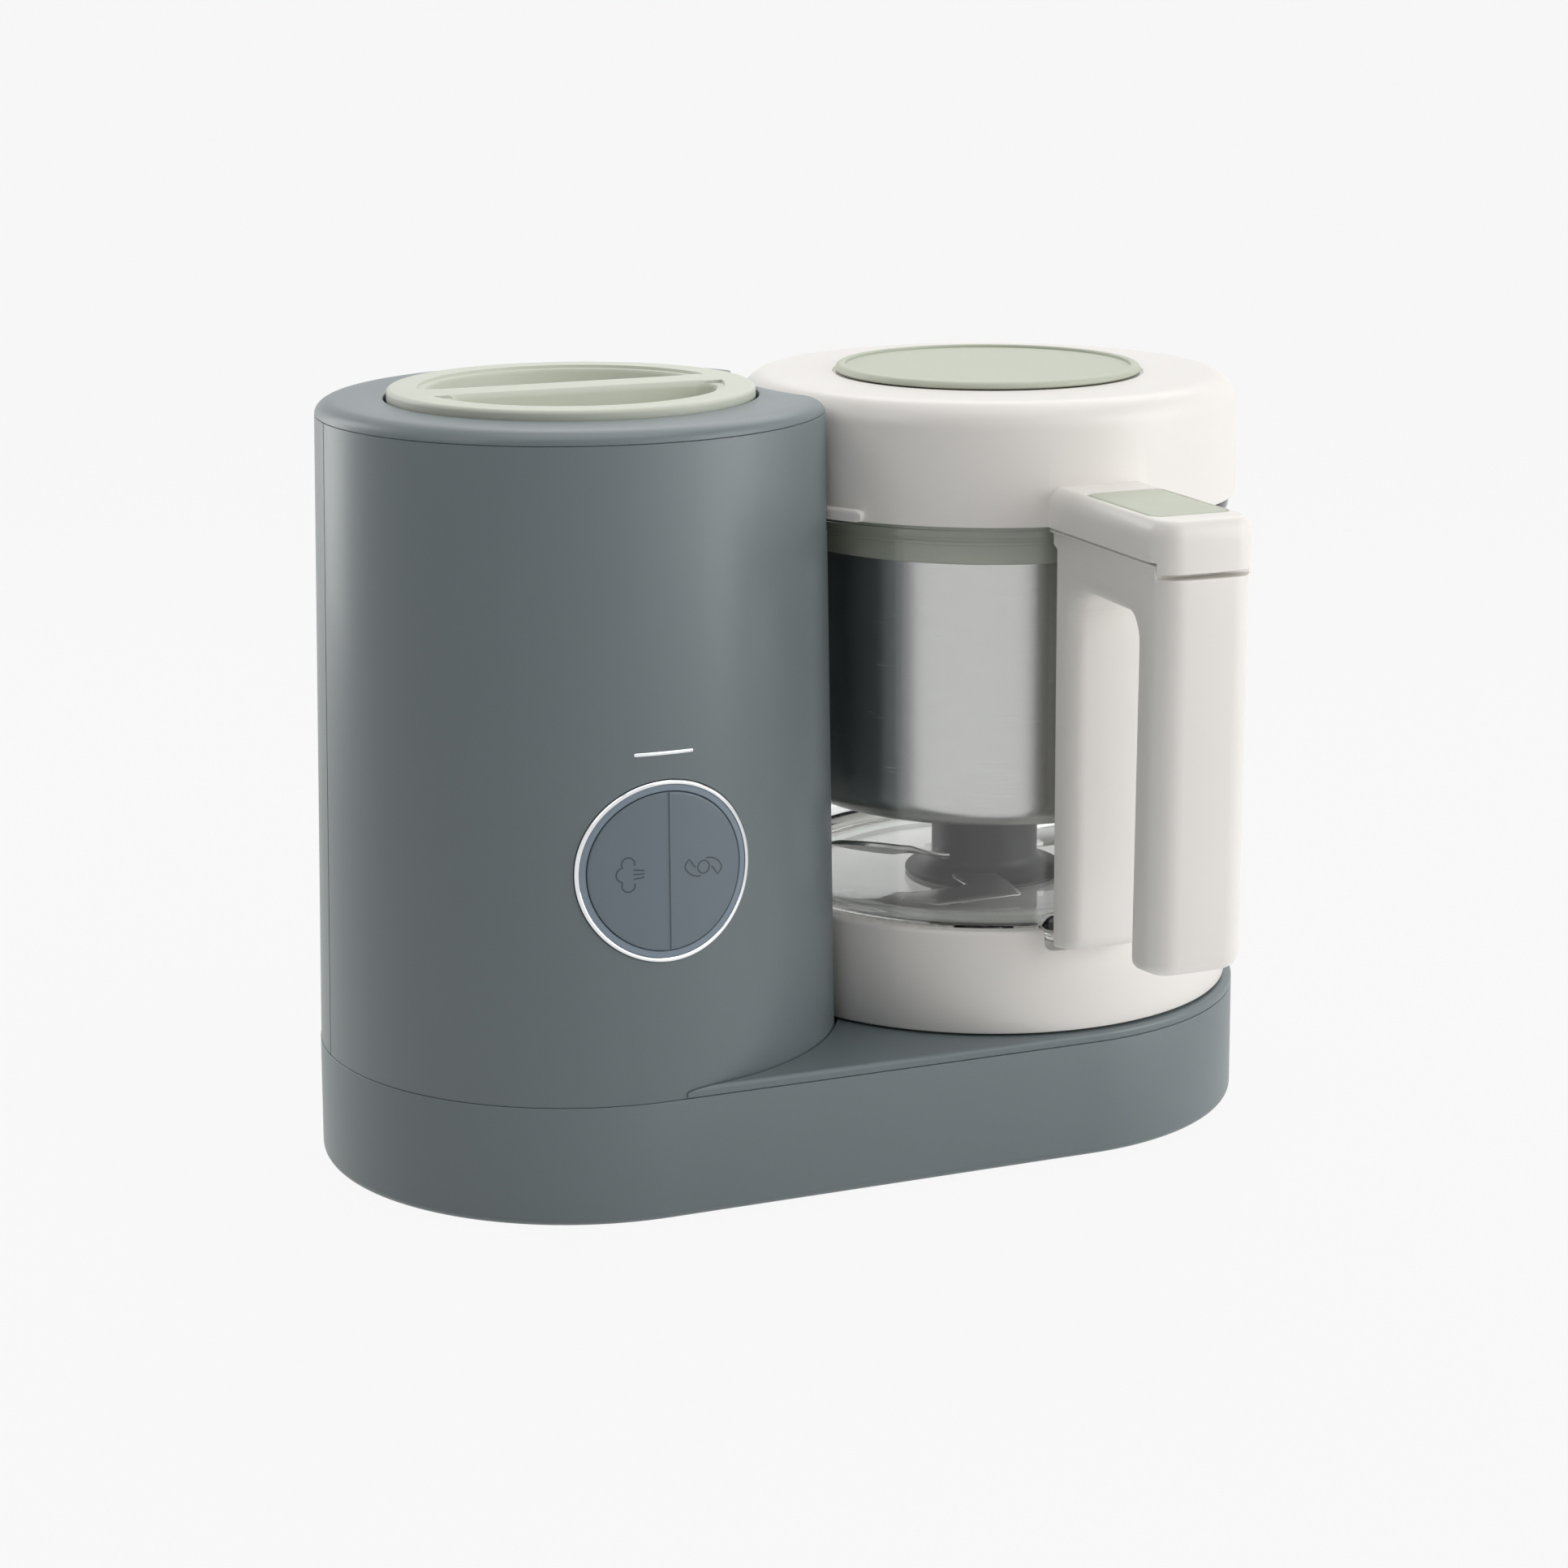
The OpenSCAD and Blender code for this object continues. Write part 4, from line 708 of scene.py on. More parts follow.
notch_z = collar_top - NOTCH_DROP
notch_left, notch_right = bowl[0] - NOTCH_HALF, bowl[0] + NOTCH_HALF
notch_plan = rounded([(notch_left, notch_z, 3), (notch_right, notch_z, 3),
                      (notch_right, collar_top + 5, 0.5), (notch_left, collar_top + 5, 0.5)])
join(collar, [plate_y(notch_plan, bowl[1] - collar_r - 5, bowl[1] - collar_in + 6)], "DIFFERENCE")
cream = plastic("cream_plastic", srgb(238, 234, 229), 0.4, grain=2400, bump=0.03, variation=0.015, coat=0.1)
dress(collar, "housing", cream, ["bowl_collar"])

# --- Glass bowl ---------------------------------------------------------------------
# Pressed borosilicate glass with a narrow foot, a bead under the lid, a step that carries
# the basket, and a thick pad at the front that the handle's leg is screwed to.
GLASS_T, FLOOR_T, FLOOR_BEND, BEAD, LEDGE_DOWN, BEAD_DOWN, BUSH_R = 3.2, 4, 9, 0.9, 9, 5.5, 7.0
PAD_R, PAD_T, PAD_HALF, PAD_FLANK = 86.4, 3.0, 16.8, 2.4
glass_in, neck_z = GLASS_R - GLASS_T, collar_top + 0.4
bowl_z, rim_z = glass_low[2], glass_high[2]
floor_z, ledge_z, bead_z = bowl_z + FLOOR_T, rim_z - LEDGE_DOWN, lid_z - BEAD_DOWN
glass_profile = np.concatenate([
    [[BUSH_R, bowl_z]], fillet((foot_r, bowl_z), 2.5, 270, 360, 6),
    arc((foot_r, neck_z + GLASS_FOOT_IN), GLASS_FOOT_IN, 270, 360, 10),
    [[GLASS_R, bead_z]], arc((GLASS_R, bead_z + 2), (BEAD, 2), -90, 90, 10), [[GLASS_R, rim_z - 0.8]],
    arc((GLASS_R - 0.8, rim_z - 0.8), 0.8, 0, 180, 8), [[GLASS_R - 1.6, ledge_z + 0.6]],
    arc((GLASS_R - 2.2, ledge_z + 0.6), 0.6, 0, -90, 3), [[glass_in + 0.5, ledge_z]],
    fillet((glass_in, ledge_z), 0.5, 90, 180, 3), [[glass_in, floor_z + FLOOR_BEND]],
    fillet((glass_in, floor_z), FLOOR_BEND, 0, -90, 14), [[BUSH_R, floor_z]],
])
glass = solid("bowl_glass", [lathe(glass_profile, bowl, 192)])
pad_low, pad_high = bowl_z + 0.6, bead_z - 2


def pad_ring(half, inner, z0, z1, steps=(0.2, 1.2, 2.2, 2.8, PAD_T)):
    """The pad: a rounded rectangle in the (x, z) plane laid on circles about the bowl axis, from
    a radius inside the wall outwards. It narrows outwards as the square of its height, so that
    its flanks run softly into the wall."""
    rings = []
    for proud in (inner - PAD_R + PAD_T, *steps):
        inset = PAD_FLANK * (max(proud, 0) / PAD_T) ** 2
        a, lift = half - inset, 0.5 * inset
        p = rounded([(-a, z0 + lift, 3), (a, z0 + lift, 3), (a, z1 - lift, 3), (-a, z1 - lift, 3)], 8)
        r = PAD_R - PAD_T + proud
        rings.append(np.column_stack([bowl[0] + p[:, 0], bowl[1] - np.sqrt(r**2 - p[:, 0] ** 2), p[:, 1]]))
    return stack(rings)


# a wide foot that the leg is screwed to, and a narrower part above it, hidden by the leg
join(glass, [pad_ring(PAD_HALF, foot_r, pad_low, neck_z + 4.2)], "UNION", 40)
join(glass, [pad_ring(PAD_HALF - 6.3, glass_in + 2.1, neck_z - 3, pad_high)], "UNION", 40)


def clear_glass(name, color):
    """Pressed glass: smooth, with a broad faint waviness from the mould. Shadow rays pass it as
    they would a thin clear sheet, so that light reaches what stands inside."""
    material, tree, shader = new_material(name)
    place = put(tree, "TexCoord")
    wave = put(tree, "TexNoise", {"Vector": place.outputs["Object"], "Scale": 26})
    rise = put(tree, "Bump", {"Strength": 0.06, "Distance": 0.002, "Height": wave.outputs["Fac"]})
    wire(tree, shader, {"Normal": rise.outputs["Normal"], "Base Color": color, "Roughness": 0.0,
                        "Transmission Weight": 1, "IOR": 1.47})
    shadow = put(tree, "LightPath").outputs["Is Shadow Ray"]
    clear = put(tree, "BsdfTransparent", {"Color": (0.97, 0.98, 0.975, 1)})
    mix = put(tree, "MixShader", {0: shadow, 1: shader.outputs[0], 2: clear.outputs[0]})
    wire(tree, tree.nodes["Material Output"], {"Surface": mix.outputs[0]})
    return material


bowl_glass = clear_glass("bowl_glass", (0.985, 0.992, 0.99, 1))
dress(glass, "bowl", bowl_glass, ["bowl_glass"])

# --- Steaming basket ----------------------------------------------------------------
# Deep-drawn steel cup with a perforated floor, brushed round its axis, pressed into a sage
# plastic collar that hangs on the step of the glass.
basket_low, basket_high = span("basket")
basket_r = (basket_high[0] - basket_low[0]) / 2
basket_z, basket_top = basket_low[2], basket_high[2]
SHEET, BASKET_ROUND, HOLE_R, HOLE_PITCH = 0.8, 9.0, 2.2, 14.0
bend_at, inner_bend = (basket_r - BASKET_ROUND, basket_z + BASKET_ROUND), BASKET_ROUND - SHEET
basket_profile = np.concatenate([
    [[0, basket_z]], arc(bend_at, BASKET_ROUND, 270, 360, 12),
    [[basket_r, basket_top], [basket_r - SHEET, basket_top]],
    arc(bend_at, inner_bend, 360, 270, 12), [[0, basket_z + SHEET]],
])
basket = solid("basket", [lathe(basket_profile, bowl, 192, closed=False)])
holes = [rod_z(bowl, HOLE_R, basket_z - 1, basket_z + 2, 20)]
for ring in (1, 2, 3):
    for k in range(6 * ring):
        turn = math.radians(k * 60 / ring)
        at = bowl + ring * HOLE_PITCH * np.array([math.cos(turn), math.sin(turn)])
        holes.append(rod_z(at, HOLE_R, basket_z - 1, basket_z + 2, 20))
join(basket, holes, "DIFFERENCE")
steel = metal("steel", srgb(202, 202, 200), 0.26, (80, 80, 5200), 0.05, tint=0.86)
dress(basket, "bowl", steel, ["basket"])

hang_low, hang_high = span("basket_collar")
hang_r = (hang_high[0] - hang_low[0]) / 2
low, top = hang_low[2], hang_high[2]
BODY_R, STEP_R, STEP_UP = 76.7, 75.0, 6.8
hang_profile = np.concatenate([
    [[basket_r + 0.2, low], [STEP_R - 0.4, low], [STEP_R, low + 0.4], [STEP_R, low + STEP_UP - 0.3]],
    fillet((BODY_R, low + STEP_UP), 0.5, 270, 360, 3),
    [[BODY_R, top - 2.3], [hang_r - 0.3, top - 2.2], [hang_r, top - 1.9]],
    fillet((hang_r, top), 0.6, 0, 90, 3), [[basket_r + 0.2, top]],
])
hanger = solid("basket_collar", [lathe(hang_profile, bowl, 192)])
sage = plastic("sage_plastic", srgb(188, 193, 176), 0.48, grain=2200, bump=0.03)
deep_sage = plastic("basket_sage_plastic", srgb(150, 155, 140), 0.5, grain=2200, bump=0.03)
dress(hanger, "bowl", deep_sage, ["basket_collar"])

# --- Blade --------------------------------------------------------------------------
# Dark moulded hub that drops over the bush in the floor of the bowl, with four ground steel
# wings: two at the neck, one of them pitched and rising, and two low ones close above the
# floor. A hexagon under the floor takes the motor's coupling.
hub_low, hub_high = span("blade_hub")
hub_z, hub_top = hub_low[2], hub_high[2]
HUB_R, HUB_FLANGE, HUB_FOOT, HUB_NECK = 18.8, 28.3, 1.2, 7.0
SOCKET_R, SOCKET_DEEP, HUB_BEND, DISH_R, DISH_DEEP = 11.5, 2.5, 4, 12, 0.5
hub_lip = HUB_FLANGE - 0.3
hub_profile = np.concatenate([
    [[0, hub_z + SOCKET_DEEP], [SOCKET_R, hub_z + SOCKET_DEEP], [SOCKET_R, hub_z]],
    arc((HUB_FLANGE - 0.6, hub_z + 0.6), 0.6, 270, 450, 6),
    arc((hub_lip, hub_z + HUB_NECK), (hub_lip - HUB_R, HUB_NECK - HUB_FOOT), 268, 180, 16),
    fillet((HUB_R, hub_top), HUB_BEND, 0, 90, 10),
    [[DISH_R, hub_top], [DISH_R - 0.4, hub_top - DISH_DEEP], [0, hub_top - DISH_DEEP]],
])
hub = solid("blade_hub", [lathe(hub_profile, bowl, 128, closed=False)])
dark = plastic("dark_plastic", srgb(40, 40, 40), 0.45, grain=2400, bump=0.015, specular=0.3)
dress(hub, "blade", dark, ["blade_hub"])

blade_low, blade_high = span("blade")
BLADE_T, BLADE_W, BEVEL = 1.6, 16.0, 4.5
blade_z = hub_z + HUB_NECK
blade_reach = (blade_high[0] - blade_low[0]) / 2


def wing(reach, rise, pitch):
    """An upper wing along +X from its root. Its back edge comes in over the outer half by the
    power 2.2 of the way to a blunt point, it rises by the power 1.6 of the way out, and the
    strip twists to its pitch over the first third. The front edge is ground to a bevel."""
    u = np.linspace(0, 1, 40)[:, None]
    out = HUB_R - 1.5 + u * (reach - HUB_R + 1.5)
    front = -BLADE_W / 2 + 0 * u
    back = BLADE_W / 2 - (BLADE_W - 1.0) * np.clip((u - 0.55) / 0.45, 0, 1) ** 2.2
    twist = np.radians(pitch) * np.clip(u / 0.35, 0, 1) ** 1.5
    lift = rise * u**1.6
    bevel = np.minimum(BEVEL, (back - front) * 0.5)
    across = np.concatenate([front, front + bevel, back - 0.3, back, back - 0.3, front + bevel], 1)
    up = np.array([0.1, 1, 1, 0.6, 0, 0]) * BLADE_T * (0.4 + 0.6 * np.clip((1 - u) * 12, 0, 1))
    y = across * np.cos(twist) - (up - BLADE_T / 2) * np.sin(twist)
    z = across * np.sin(twist) + (up - BLADE_T / 2) * np.cos(twist) + BLADE_T / 2 + lift
    return np.stack([out + 0 * y, y, z], 2)


def turned(rings, degrees, height):
    """A grid turned about the bowl axis and lifted to a height."""
    c, s = math.cos(math.radians(degrees)), math.sin(math.radians(degrees))
    x, y = rings[..., 0] * c - rings[..., 1] * s, rings[..., 0] * s + rings[..., 1] * c
    return np.stack([bowl[0] + x, bowl[1] + y, rings[..., 2] + height], -1)


LOW_UP, LOW_IN, LOW_SIDE = 2.0, 4.0, 27.8
low_plan = rounded([(-HUB_R, -12.0, 1), (-HUB_R, -LOW_SIDE - 1, 3), (-48.5, -LOW_SIDE - 4, 1.5),
                    (-39.0, -LOW_SIDE - 16, 4), (-6.8, -LOW_SIDE - 16, 1.5), (-LOW_IN, -LOW_SIDE, 3),
                    (-LOW_IN, -12.0, 1)])


def low_ring(inset, height):
    """Plan of a lower wing at a height, drawn in towards its middle by an inset."""
    middle = low_plan.mean(0)
    way = middle - low_plan
    return level(low_plan + way / np.linalg.norm(way, axis=1)[:, None] * inset, height)


low_wing = np.stack([low_ring(0.4, 0), low_ring(0, 0.3), low_ring(0, 0.6), low_ring(2.2, BLADE_T)])
half_w = BLADE_W / 2 - 0.5
strip_cut = [(-half_w, 0), (half_w, 0), (half_w, BLADE_T), (-half_w, BLADE_T)]
hub_strip = np.array([[(x, y, z) for y, z in strip_cut] for x in (-HUB_R - 1, HUB_R + 1)])
flat_wing, rising_wing = wing(blade_reach - 1, 0, 0), wing(blade_reach - 1.5, 8.4, 20)
low_z = hub_z + LOW_UP
blade_parts = [(hub_strip, 0, blade_z), (flat_wing, 0, blade_z), (rising_wing, 180, blade_z),
               (low_wing, 0, low_z), (low_wing, 180, low_z)]
blade = solid("blade", [stack(turned(*part)) for part in blade_parts])
grind = metal("blade_steel", srgb(214, 214, 212), 0.3, (900, 60, 900), 0.05)
dress(blade, "blade", grind, ["blade"])

# --- Handle -------------------------------------------------------------------------
# Cream handle in one piece, an upturned U: its leg follows the glass and is screwed to it,
# and the rounded grip hangs free from the bridge.
handle_low, handle_high = span("handle")
grip_half = (handle_high[0] - handle_low[0]) / 2
reach = bowl[1] - handle_low[1]
# thickness of leg and grip, height of the bridge, half the leg's width, how far the grip's foot
# ends above the leg's, the ledge that the arm's hook drops over, and the gaps to pad and lid
LEG_T, GRIP_T, BRIDGE_H, LEG_HALF, GRIP_UP = 12.6, 19.0, 18.8, 15.8, 8.2
LEDGE_W, LEDGE_DROP, PAD_GAP, TOP_GAP = 5.7, 4.2, 0.3, 0.6
handle_top, handle_bottom = handle_high[2] - TOP_GAP, handle_low[2]
arch_z, grip_z = handle_top - BRIDGE_H, handle_bottom + GRIP_UP
leg_y, grip_y, ledge_y = GLASS_R + LEG_T, reach - GRIP_T, reach - LEDGE_W
pad_face = PAD_R + PAD_GAP
# each corner round the U as (radius, height, corner radius, half width) and the radius of the
# edge that the side from that corner to the next turns over with
handle_corners = [
    (pad_face, handle_bottom, 1.0, LEG_HALF, 1.5),
    (leg_y, handle_bottom, 5, LEG_HALF, 6.5),
    (leg_y, arch_z, 9, LEG_HALF, 6.5),
    (grip_y, arch_z, 8, grip_half, 5.5),
    (grip_y, grip_z, 5, grip_half, 4.0),
    (reach, grip_z, 7, grip_half, 9.0),
    (reach, handle_top - LEDGE_DROP, 0.8, grip_half, 0.8),
    (ledge_y, handle_top - LEDGE_DROP, 0.3, grip_half, 0.6),
    (ledge_y, handle_top, 0.8, grip_half, 0.9),
    (GLASS_R + 0.5, handle_top, 0.4, grip_half, 0.6),
    (GLASS_R + 0.5, bead_z + 4.3, 0.15, LEG_HALF, 0.3),
    (GLASS_R + 1.4, bead_z + 4.3, 0.15, LEG_HALF, 0.3),
    (GLASS_R + 1.4, bead_z - 0.6, 0.15, LEG_HALF, 0.4),
    (pad_face, bead_z - 1.6, 0.3, LEG_HALF, 1.2),
]
# the grip's lean, and the radius where it starts and over which it comes in; the radius up to
# which the sweep bends round the glass and over which it straightens; steps of each bend of
# the outline, and points from one of its points to the next
TAPER, LEAN_FROM, LEAN_OVER = 2.5, 100, 30
CURVED_TO, CURVED_OVER = 88, 8
BEND_STEPS, BETWEEN = 8, 6


def inset_outline(corners, share):
    """The U with each side moved inwards by a share of its own edge radius. The new corners are
    where neighbouring sides cross; outer corners get tighter and inner ones wider."""
    c = np.array(corners)
    at, along = c[:, :2], np.roll(c[:, :2], -1, 0) - c[:, :2]
    along = along / np.linalg.norm(along, axis=1)[:, None]
    inward = np.stack([-along[:, 1], along[:, 0]], 1)
    foot = at + inward * (c[:, 4] * share)[:, None]
    before, foot0 = np.roll(along, 1, 0), np.roll(foot, 1, 0)
    cross = before[:, 0] * along[:, 1] - before[:, 1] * along[:, 0]
    step_over = foot - foot0
    way = (step_over[:, 0] * along[:, 1] - step_over[:, 1] * along[:, 0]) / cross
    moved = foot0 + before * way[:, None]
    mean_edge = (c[:, 4] + np.roll(c[:, 4], 1)) / 2
    bend = np.maximum(c[:, 2] - np.sign(cross) * share * mean_edge, 0.15)
    plan = rounded(np.column_stack([moved, bend]).tolist(), BEND_STEPS)
    reach_in = np.maximum(c[:, 4], np.roll(c[:, 4], 1))
    return plan, np.repeat(reach_in, BEND_STEPS + 1), np.repeat(c[:, 3], BEND_STEPS + 1)


def handle_rings(corners, steps=8):
    """The U swept across its width. The side edge is a quarter circle: the outline moves in by
    one minus the cosine of the edge radius, while the width grows with its sine. Near the glass
    the sweep bends round the bowl axis, and the grip leans in towards its foot."""
    rings = []
    turn = np.radians(np.linspace(0, 90, steps))
    for side, t in [(-1, a) for a in turn[::-1]] + [(1, a) for a in turn]:
        q, edge_r, half = inset_outline(corners, 1 - math.cos(t))
        s = np.linspace(0, 1, BETWEEN, endpoint=False)[None, :, None]
        q = (q[:, None] * (1 - s) + np.roll(q, -1, 0)[:, None] * s).reshape(-1, 2)
        s = s[..., 0]
        edge_r, half = ((v[:, None] * (1 - s) + np.roll(v, -1)[:, None] * s).ravel() for v in (edge_r, half))
        x = side * (half - edge_r + edge_r * math.sin(t))
        away = np.clip((q[:, 0] - CURVED_TO) / CURVED_OVER, 0, 1)
        lower = np.clip((handle_top - q[:, 1]) / (handle_top - grip_z), 0, 1)
        lean = TAPER * lower * np.clip((q[:, 0] - LEAN_FROM) / LEAN_OVER, 0, 1)
        bend = q[:, 0] - np.sqrt(q[:, 0] ** 2 - x**2)
        radius = q[:, 0] - bend * (1 - away) - lean
        rings.append(np.column_stack([bowl[0] + x, bowl[1] - radius, q[:, 1]]))
    return rings


def handle_skin(corners):
    """The swept U with both flanks filled by triangles over the flat outline."""
    rings = handle_rings(corners)
    verts, faces = stack(rings, caps=False)
    flat = [Vector((y, z, 0)) for _, y, z in rings[0].tolist()]
    last = (len(rings) - 1) * len(flat)
    for a, b, c in tessellate_polygon([flat]):
        faces += [[a, b, c], [last + c, last + b, last + a]]
    return verts, faces


handle = solid("handle", [handle_skin(handle_corners)], 40)
dress(handle, "bowl", cream, ["handle"])

# --- Lid ----------------------------------------------------------------------------
# Cream lid whose skirt drops over the rim of the glass. It is moulded in one with the arm
# that lies on the handle and hooks over its end, and with the lug that shows in the column.
lid_top = lid_high[2]
LID_DRAFT, LID_SHOULDER, SKIRT_T, ROOF_T, PLUG_SUNK = 0.8, 9.0, 2.2, 2.6, 0.5
plug_low, plug_high = span("lid_plug")
plug_r = (plug_high[0] - plug_low[0]) / 2
plug_hole = plug_r - 7
shoulder_r = lid_r - LID_DRAFT - LID_SHOULDER
lid_profile = np.concatenate([
    fillet((lid_r, lid_z), 0.4, 270, 360, 3),
    arc((shoulder_r, lid_top - LID_SHOULDER), LID_SHOULDER, 0, 90, 12),
    [[plug_r + 1.0, lid_top], [plug_r + 0.6, lid_top - PLUG_SUNK], [plug_r - 1, lid_top - PLUG_SUNK],
     [plug_hole, lid_top - PLUG_SUNK], [plug_hole, lid_top - ROOF_T]],
    arc((shoulder_r, lid_top - LID_SHOULDER), (LID_SHOULDER - SKIRT_T, LID_SHOULDER - ROOF_T), 90, 0, 8),
    [[lid_r - SKIRT_T, lid_z]],
])
lid = solid("lid_shell", [lathe(lid_profile, bowl, 192)])
ARM_HALF, ARM_H, ARM_CORNER, ARM_ROOT, ARM_BEND, HOOK_T = 18.2, 13.3, 9.0, 12, 20, 5.0
arm_top = lid_z + ARM_H


def arm_outline(inset, height):
    """Plan of the arm: a bar from inside the lid's wall out to the arm's reach, its end bent to
    a circle about the bowl axis and its two outer corners rounded."""
    a, corner = ARM_HALF - inset, max(ARM_CORNER - inset, 0.5)
    root, end = lid_r - ARM_ROOT, reach - inset
    p = rounded([(a, root, 0.5), (a, end, corner), (-a, end, corner), (-a, root, 0.5)], 10)
    sag = reach - np.sqrt(reach**2 - p[:, 0] ** 2)
    far = np.clip((p[:, 1] - reach + ARM_BEND) / ARM_BEND, 0, 1)
    return level(np.column_stack([bowl[0] + p[:, 0], bowl[1] - p[:, 1] + sag * far]), height)


ARM_ROUND = (4.2, 6.5)
arm_profile = np.concatenate([[[0.3, lid_z - HOOK_H], [0, lid_z - HOOK_H + 0.3], [0, arm_top - 7]],
                              arc((ARM_ROUND[0], arm_top - ARM_ROUND[1]), ARM_ROUND, 180, 90, 12)])
arm = solid("arm", [skin(arm_outline, arm_profile)])


def block(x0, x1, y0, y1, z0, z1):
    """A box from corner to corner, placed from the bowl axis."""
    return prism(np.array([(x0, y0), (x1, y0), (x1, y1), (x0, y1)]) + bowl, z0, z1)


BUTTON_GAP, BUTTON_CORNER, BUTTON_EDGE, BUTTON_SKIRT = 0.35, 4.0, 1.2, 5
button_low, button_high = span("release_button")
button_mid = (button_low + button_high) / 2
button_half = (button_high - button_low) / 2


def button_outline(grow, height):
    """Plan of the release button, grown or shrunk by an amount."""
    a, b = button_half[0] + grow, button_half[1] + grow
    bend = BUTTON_CORNER + grow
    p = rounded([(-a, -b, bend), (a, -b, bend), (a, b, bend), (-a, b, bend)], 6)
    return level(button_mid[:2] + p, height)


join(arm, [block(-30, 30, -reach + HOOK_T, -40, lid_z - 6, lid_z)], "DIFFERENCE")
pocket_profile = [(BUTTON_GAP, arm_top - 8), (BUTTON_GAP, arm_top - 0.5), (BUTTON_GAP + 0.9, arm_top + 1)]
join(arm, [skin(button_outline, pocket_profile)], "DIFFERENCE")
join(lid, [parts_of(arm)], "UNION")
LUG_IN, LUG_OUT, LUG_H, LUG_FROM, LUG_TO = lid_r - 1.5, recess_r - 0.5, 4.1, 205, 216.5
lug_middle = np.linspace(LUG_FROM + 1.2, LUG_TO - 1.2, 8)
lug_turn = np.radians(np.concatenate([[LUG_FROM, LUG_FROM + 0.35], lug_middle, [LUG_TO - 0.35, LUG_TO]]))
lug_size = np.concatenate([[0.35, 0.8], np.ones(8), [0.8, 0.35]])
lug_rings = []
for t, s in zip(lug_turn, lug_size):
    half, mid = LUG_H / 2 * s, lid_z + LUG_H / 2
    section = rounded([(LUG_IN, mid - half, 0.3), (LUG_OUT, mid - half, half * 0.55),
                       (LUG_OUT, mid + half, half * 0.55), (LUG_IN, mid + half, 0.3)], 4)
    r, z = section.T
    lug_rings.append(np.column_stack([bowl[0] + r * math.cos(t), bowl[1] + r * math.sin(t), z]))
lug = solid("lid_lug", [stack(lug_rings)])
dress(lid, "lid", cream, ["lid_shell"])
dress(lug, "lid", cream)

button_top = button_high[2]
button_profile = [(-0.3, button_top - BUTTON_SKIRT - 0.3), (0, button_top - BUTTON_SKIRT),
                  (0, button_top - BUTTON_EDGE)]
for t in np.radians([20, 45, 70, 90]):
    button_profile.append((-BUTTON_EDGE * (1 - math.cos(t)), button_top - BUTTON_EDGE * (1 - math.sin(t))))
button = solid("release_button", [skin(button_outline, button_profile)])
dress(button, "release_button", sage, ["release_button"])

# --- Filling plug -------------------------------------------------------------------
# Round sage plug pressed into the lid with a silicone ring. A low rounded rim runs round its
# flat top, and a short tube under it stands in the lid's opening.
plug_z, plug_top = lid_top + 0.3, plug_high[2]
RIM_W, RIM_DROP, PLUG_EDGE, TUBE_GAP, TUBE_T, TUBE_DOWN = 3.6, 1.0, 1.9, 1.6, 1.9, 8
plug_profile = np.concatenate([
    [[0, plug_z], [plug_r - 0.4, plug_z], [plug_r, plug_z + 0.4]],
    fillet((plug_r, plug_top), PLUG_EDGE, 0, 90, 8),
    fillet((plug_r - RIM_W, plug_top), 0.5, 90, 180, 4),
    [[plug_r - RIM_W, plug_top - RIM_DROP]], [[0, plug_top - RIM_DROP]],
])
tube_in, tube_out, tube_z = plug_hole - TUBE_GAP - TUBE_T, plug_hole - TUBE_GAP, lid_top - TUBE_DOWN
tube = [(tube_in, tube_z), (tube_out, tube_z), (tube_out, lid_top + 1), (tube_in, lid_top + 1)]
plug = solid("lid_plug", [lathe(plug_profile, bowl, 160, closed=False), lathe(tube, bowl, 160)])
dress(plug, "lid_plug", sage, ["lid_plug"])

# --- Inside -------------------------------------------------------------------------
# Boiler, heater, boards, motor, seals and screws, kept as they are in the model and given
# their own finishes.
cast = metal("aluminium", srgb(190, 190, 192), 0.45, (700, 700, 700), 0.2)
silicone = plastic("silicone", srgb(214, 216, 210), 0.6, grain=1200, bump=0.05)
ceramic = plastic("ceramic", srgb(230, 226, 214), 0.6, grain=3000, bump=0.1)
windings = metal("motor_core", srgb(168, 108, 66), 0.4, (200, 200, 2600), 0.3)
board = plastic("board", srgb(42, 110, 72), 0.35, grain=900, bump=0.1, variation=0.12)
finishes = {"steel": steel, "aluminium": cast, "silicone": silicone, "ceramic": ceramic,
            "motor_core": windings, "board": board, "dark_plastic": dark, "foot_rubber": rubber,
            "cream_plastic": cream}
for part in frame["record"]["subparts"]:
    node, finish = frame["nodes"][part["node"]], finishes.get(part["material_slot"])
    if finish:
        node.data.materials[0] = finish

# --- Studio -------------------------------------------------------------------------
# Pale floor and backdrop, two soft panels above, three at the right, a small one at the left
# and one behind the left shoulder. The camera has a long lens whose axis dips a little, with
# the frame shifted so that upright walls stay near upright.
PALE = (0.945, 0.945, 0.945, 1)
SEEN = 0.98
FLOOR = 12
floor_mesh = bpy.data.meshes.new("floor")
floor_at = [(-FLOOR, -FLOOR, 0), (FLOOR, -FLOOR, 0), (FLOOR, FLOOR, 0), (-FLOOR, FLOOR, 0)]
floor_mesh.from_pydata(floor_at, [], [(0, 1, 2, 3)])
floor = bpy.data.objects.new("floor", floor_mesh)
scene.collection.objects.link(floor)


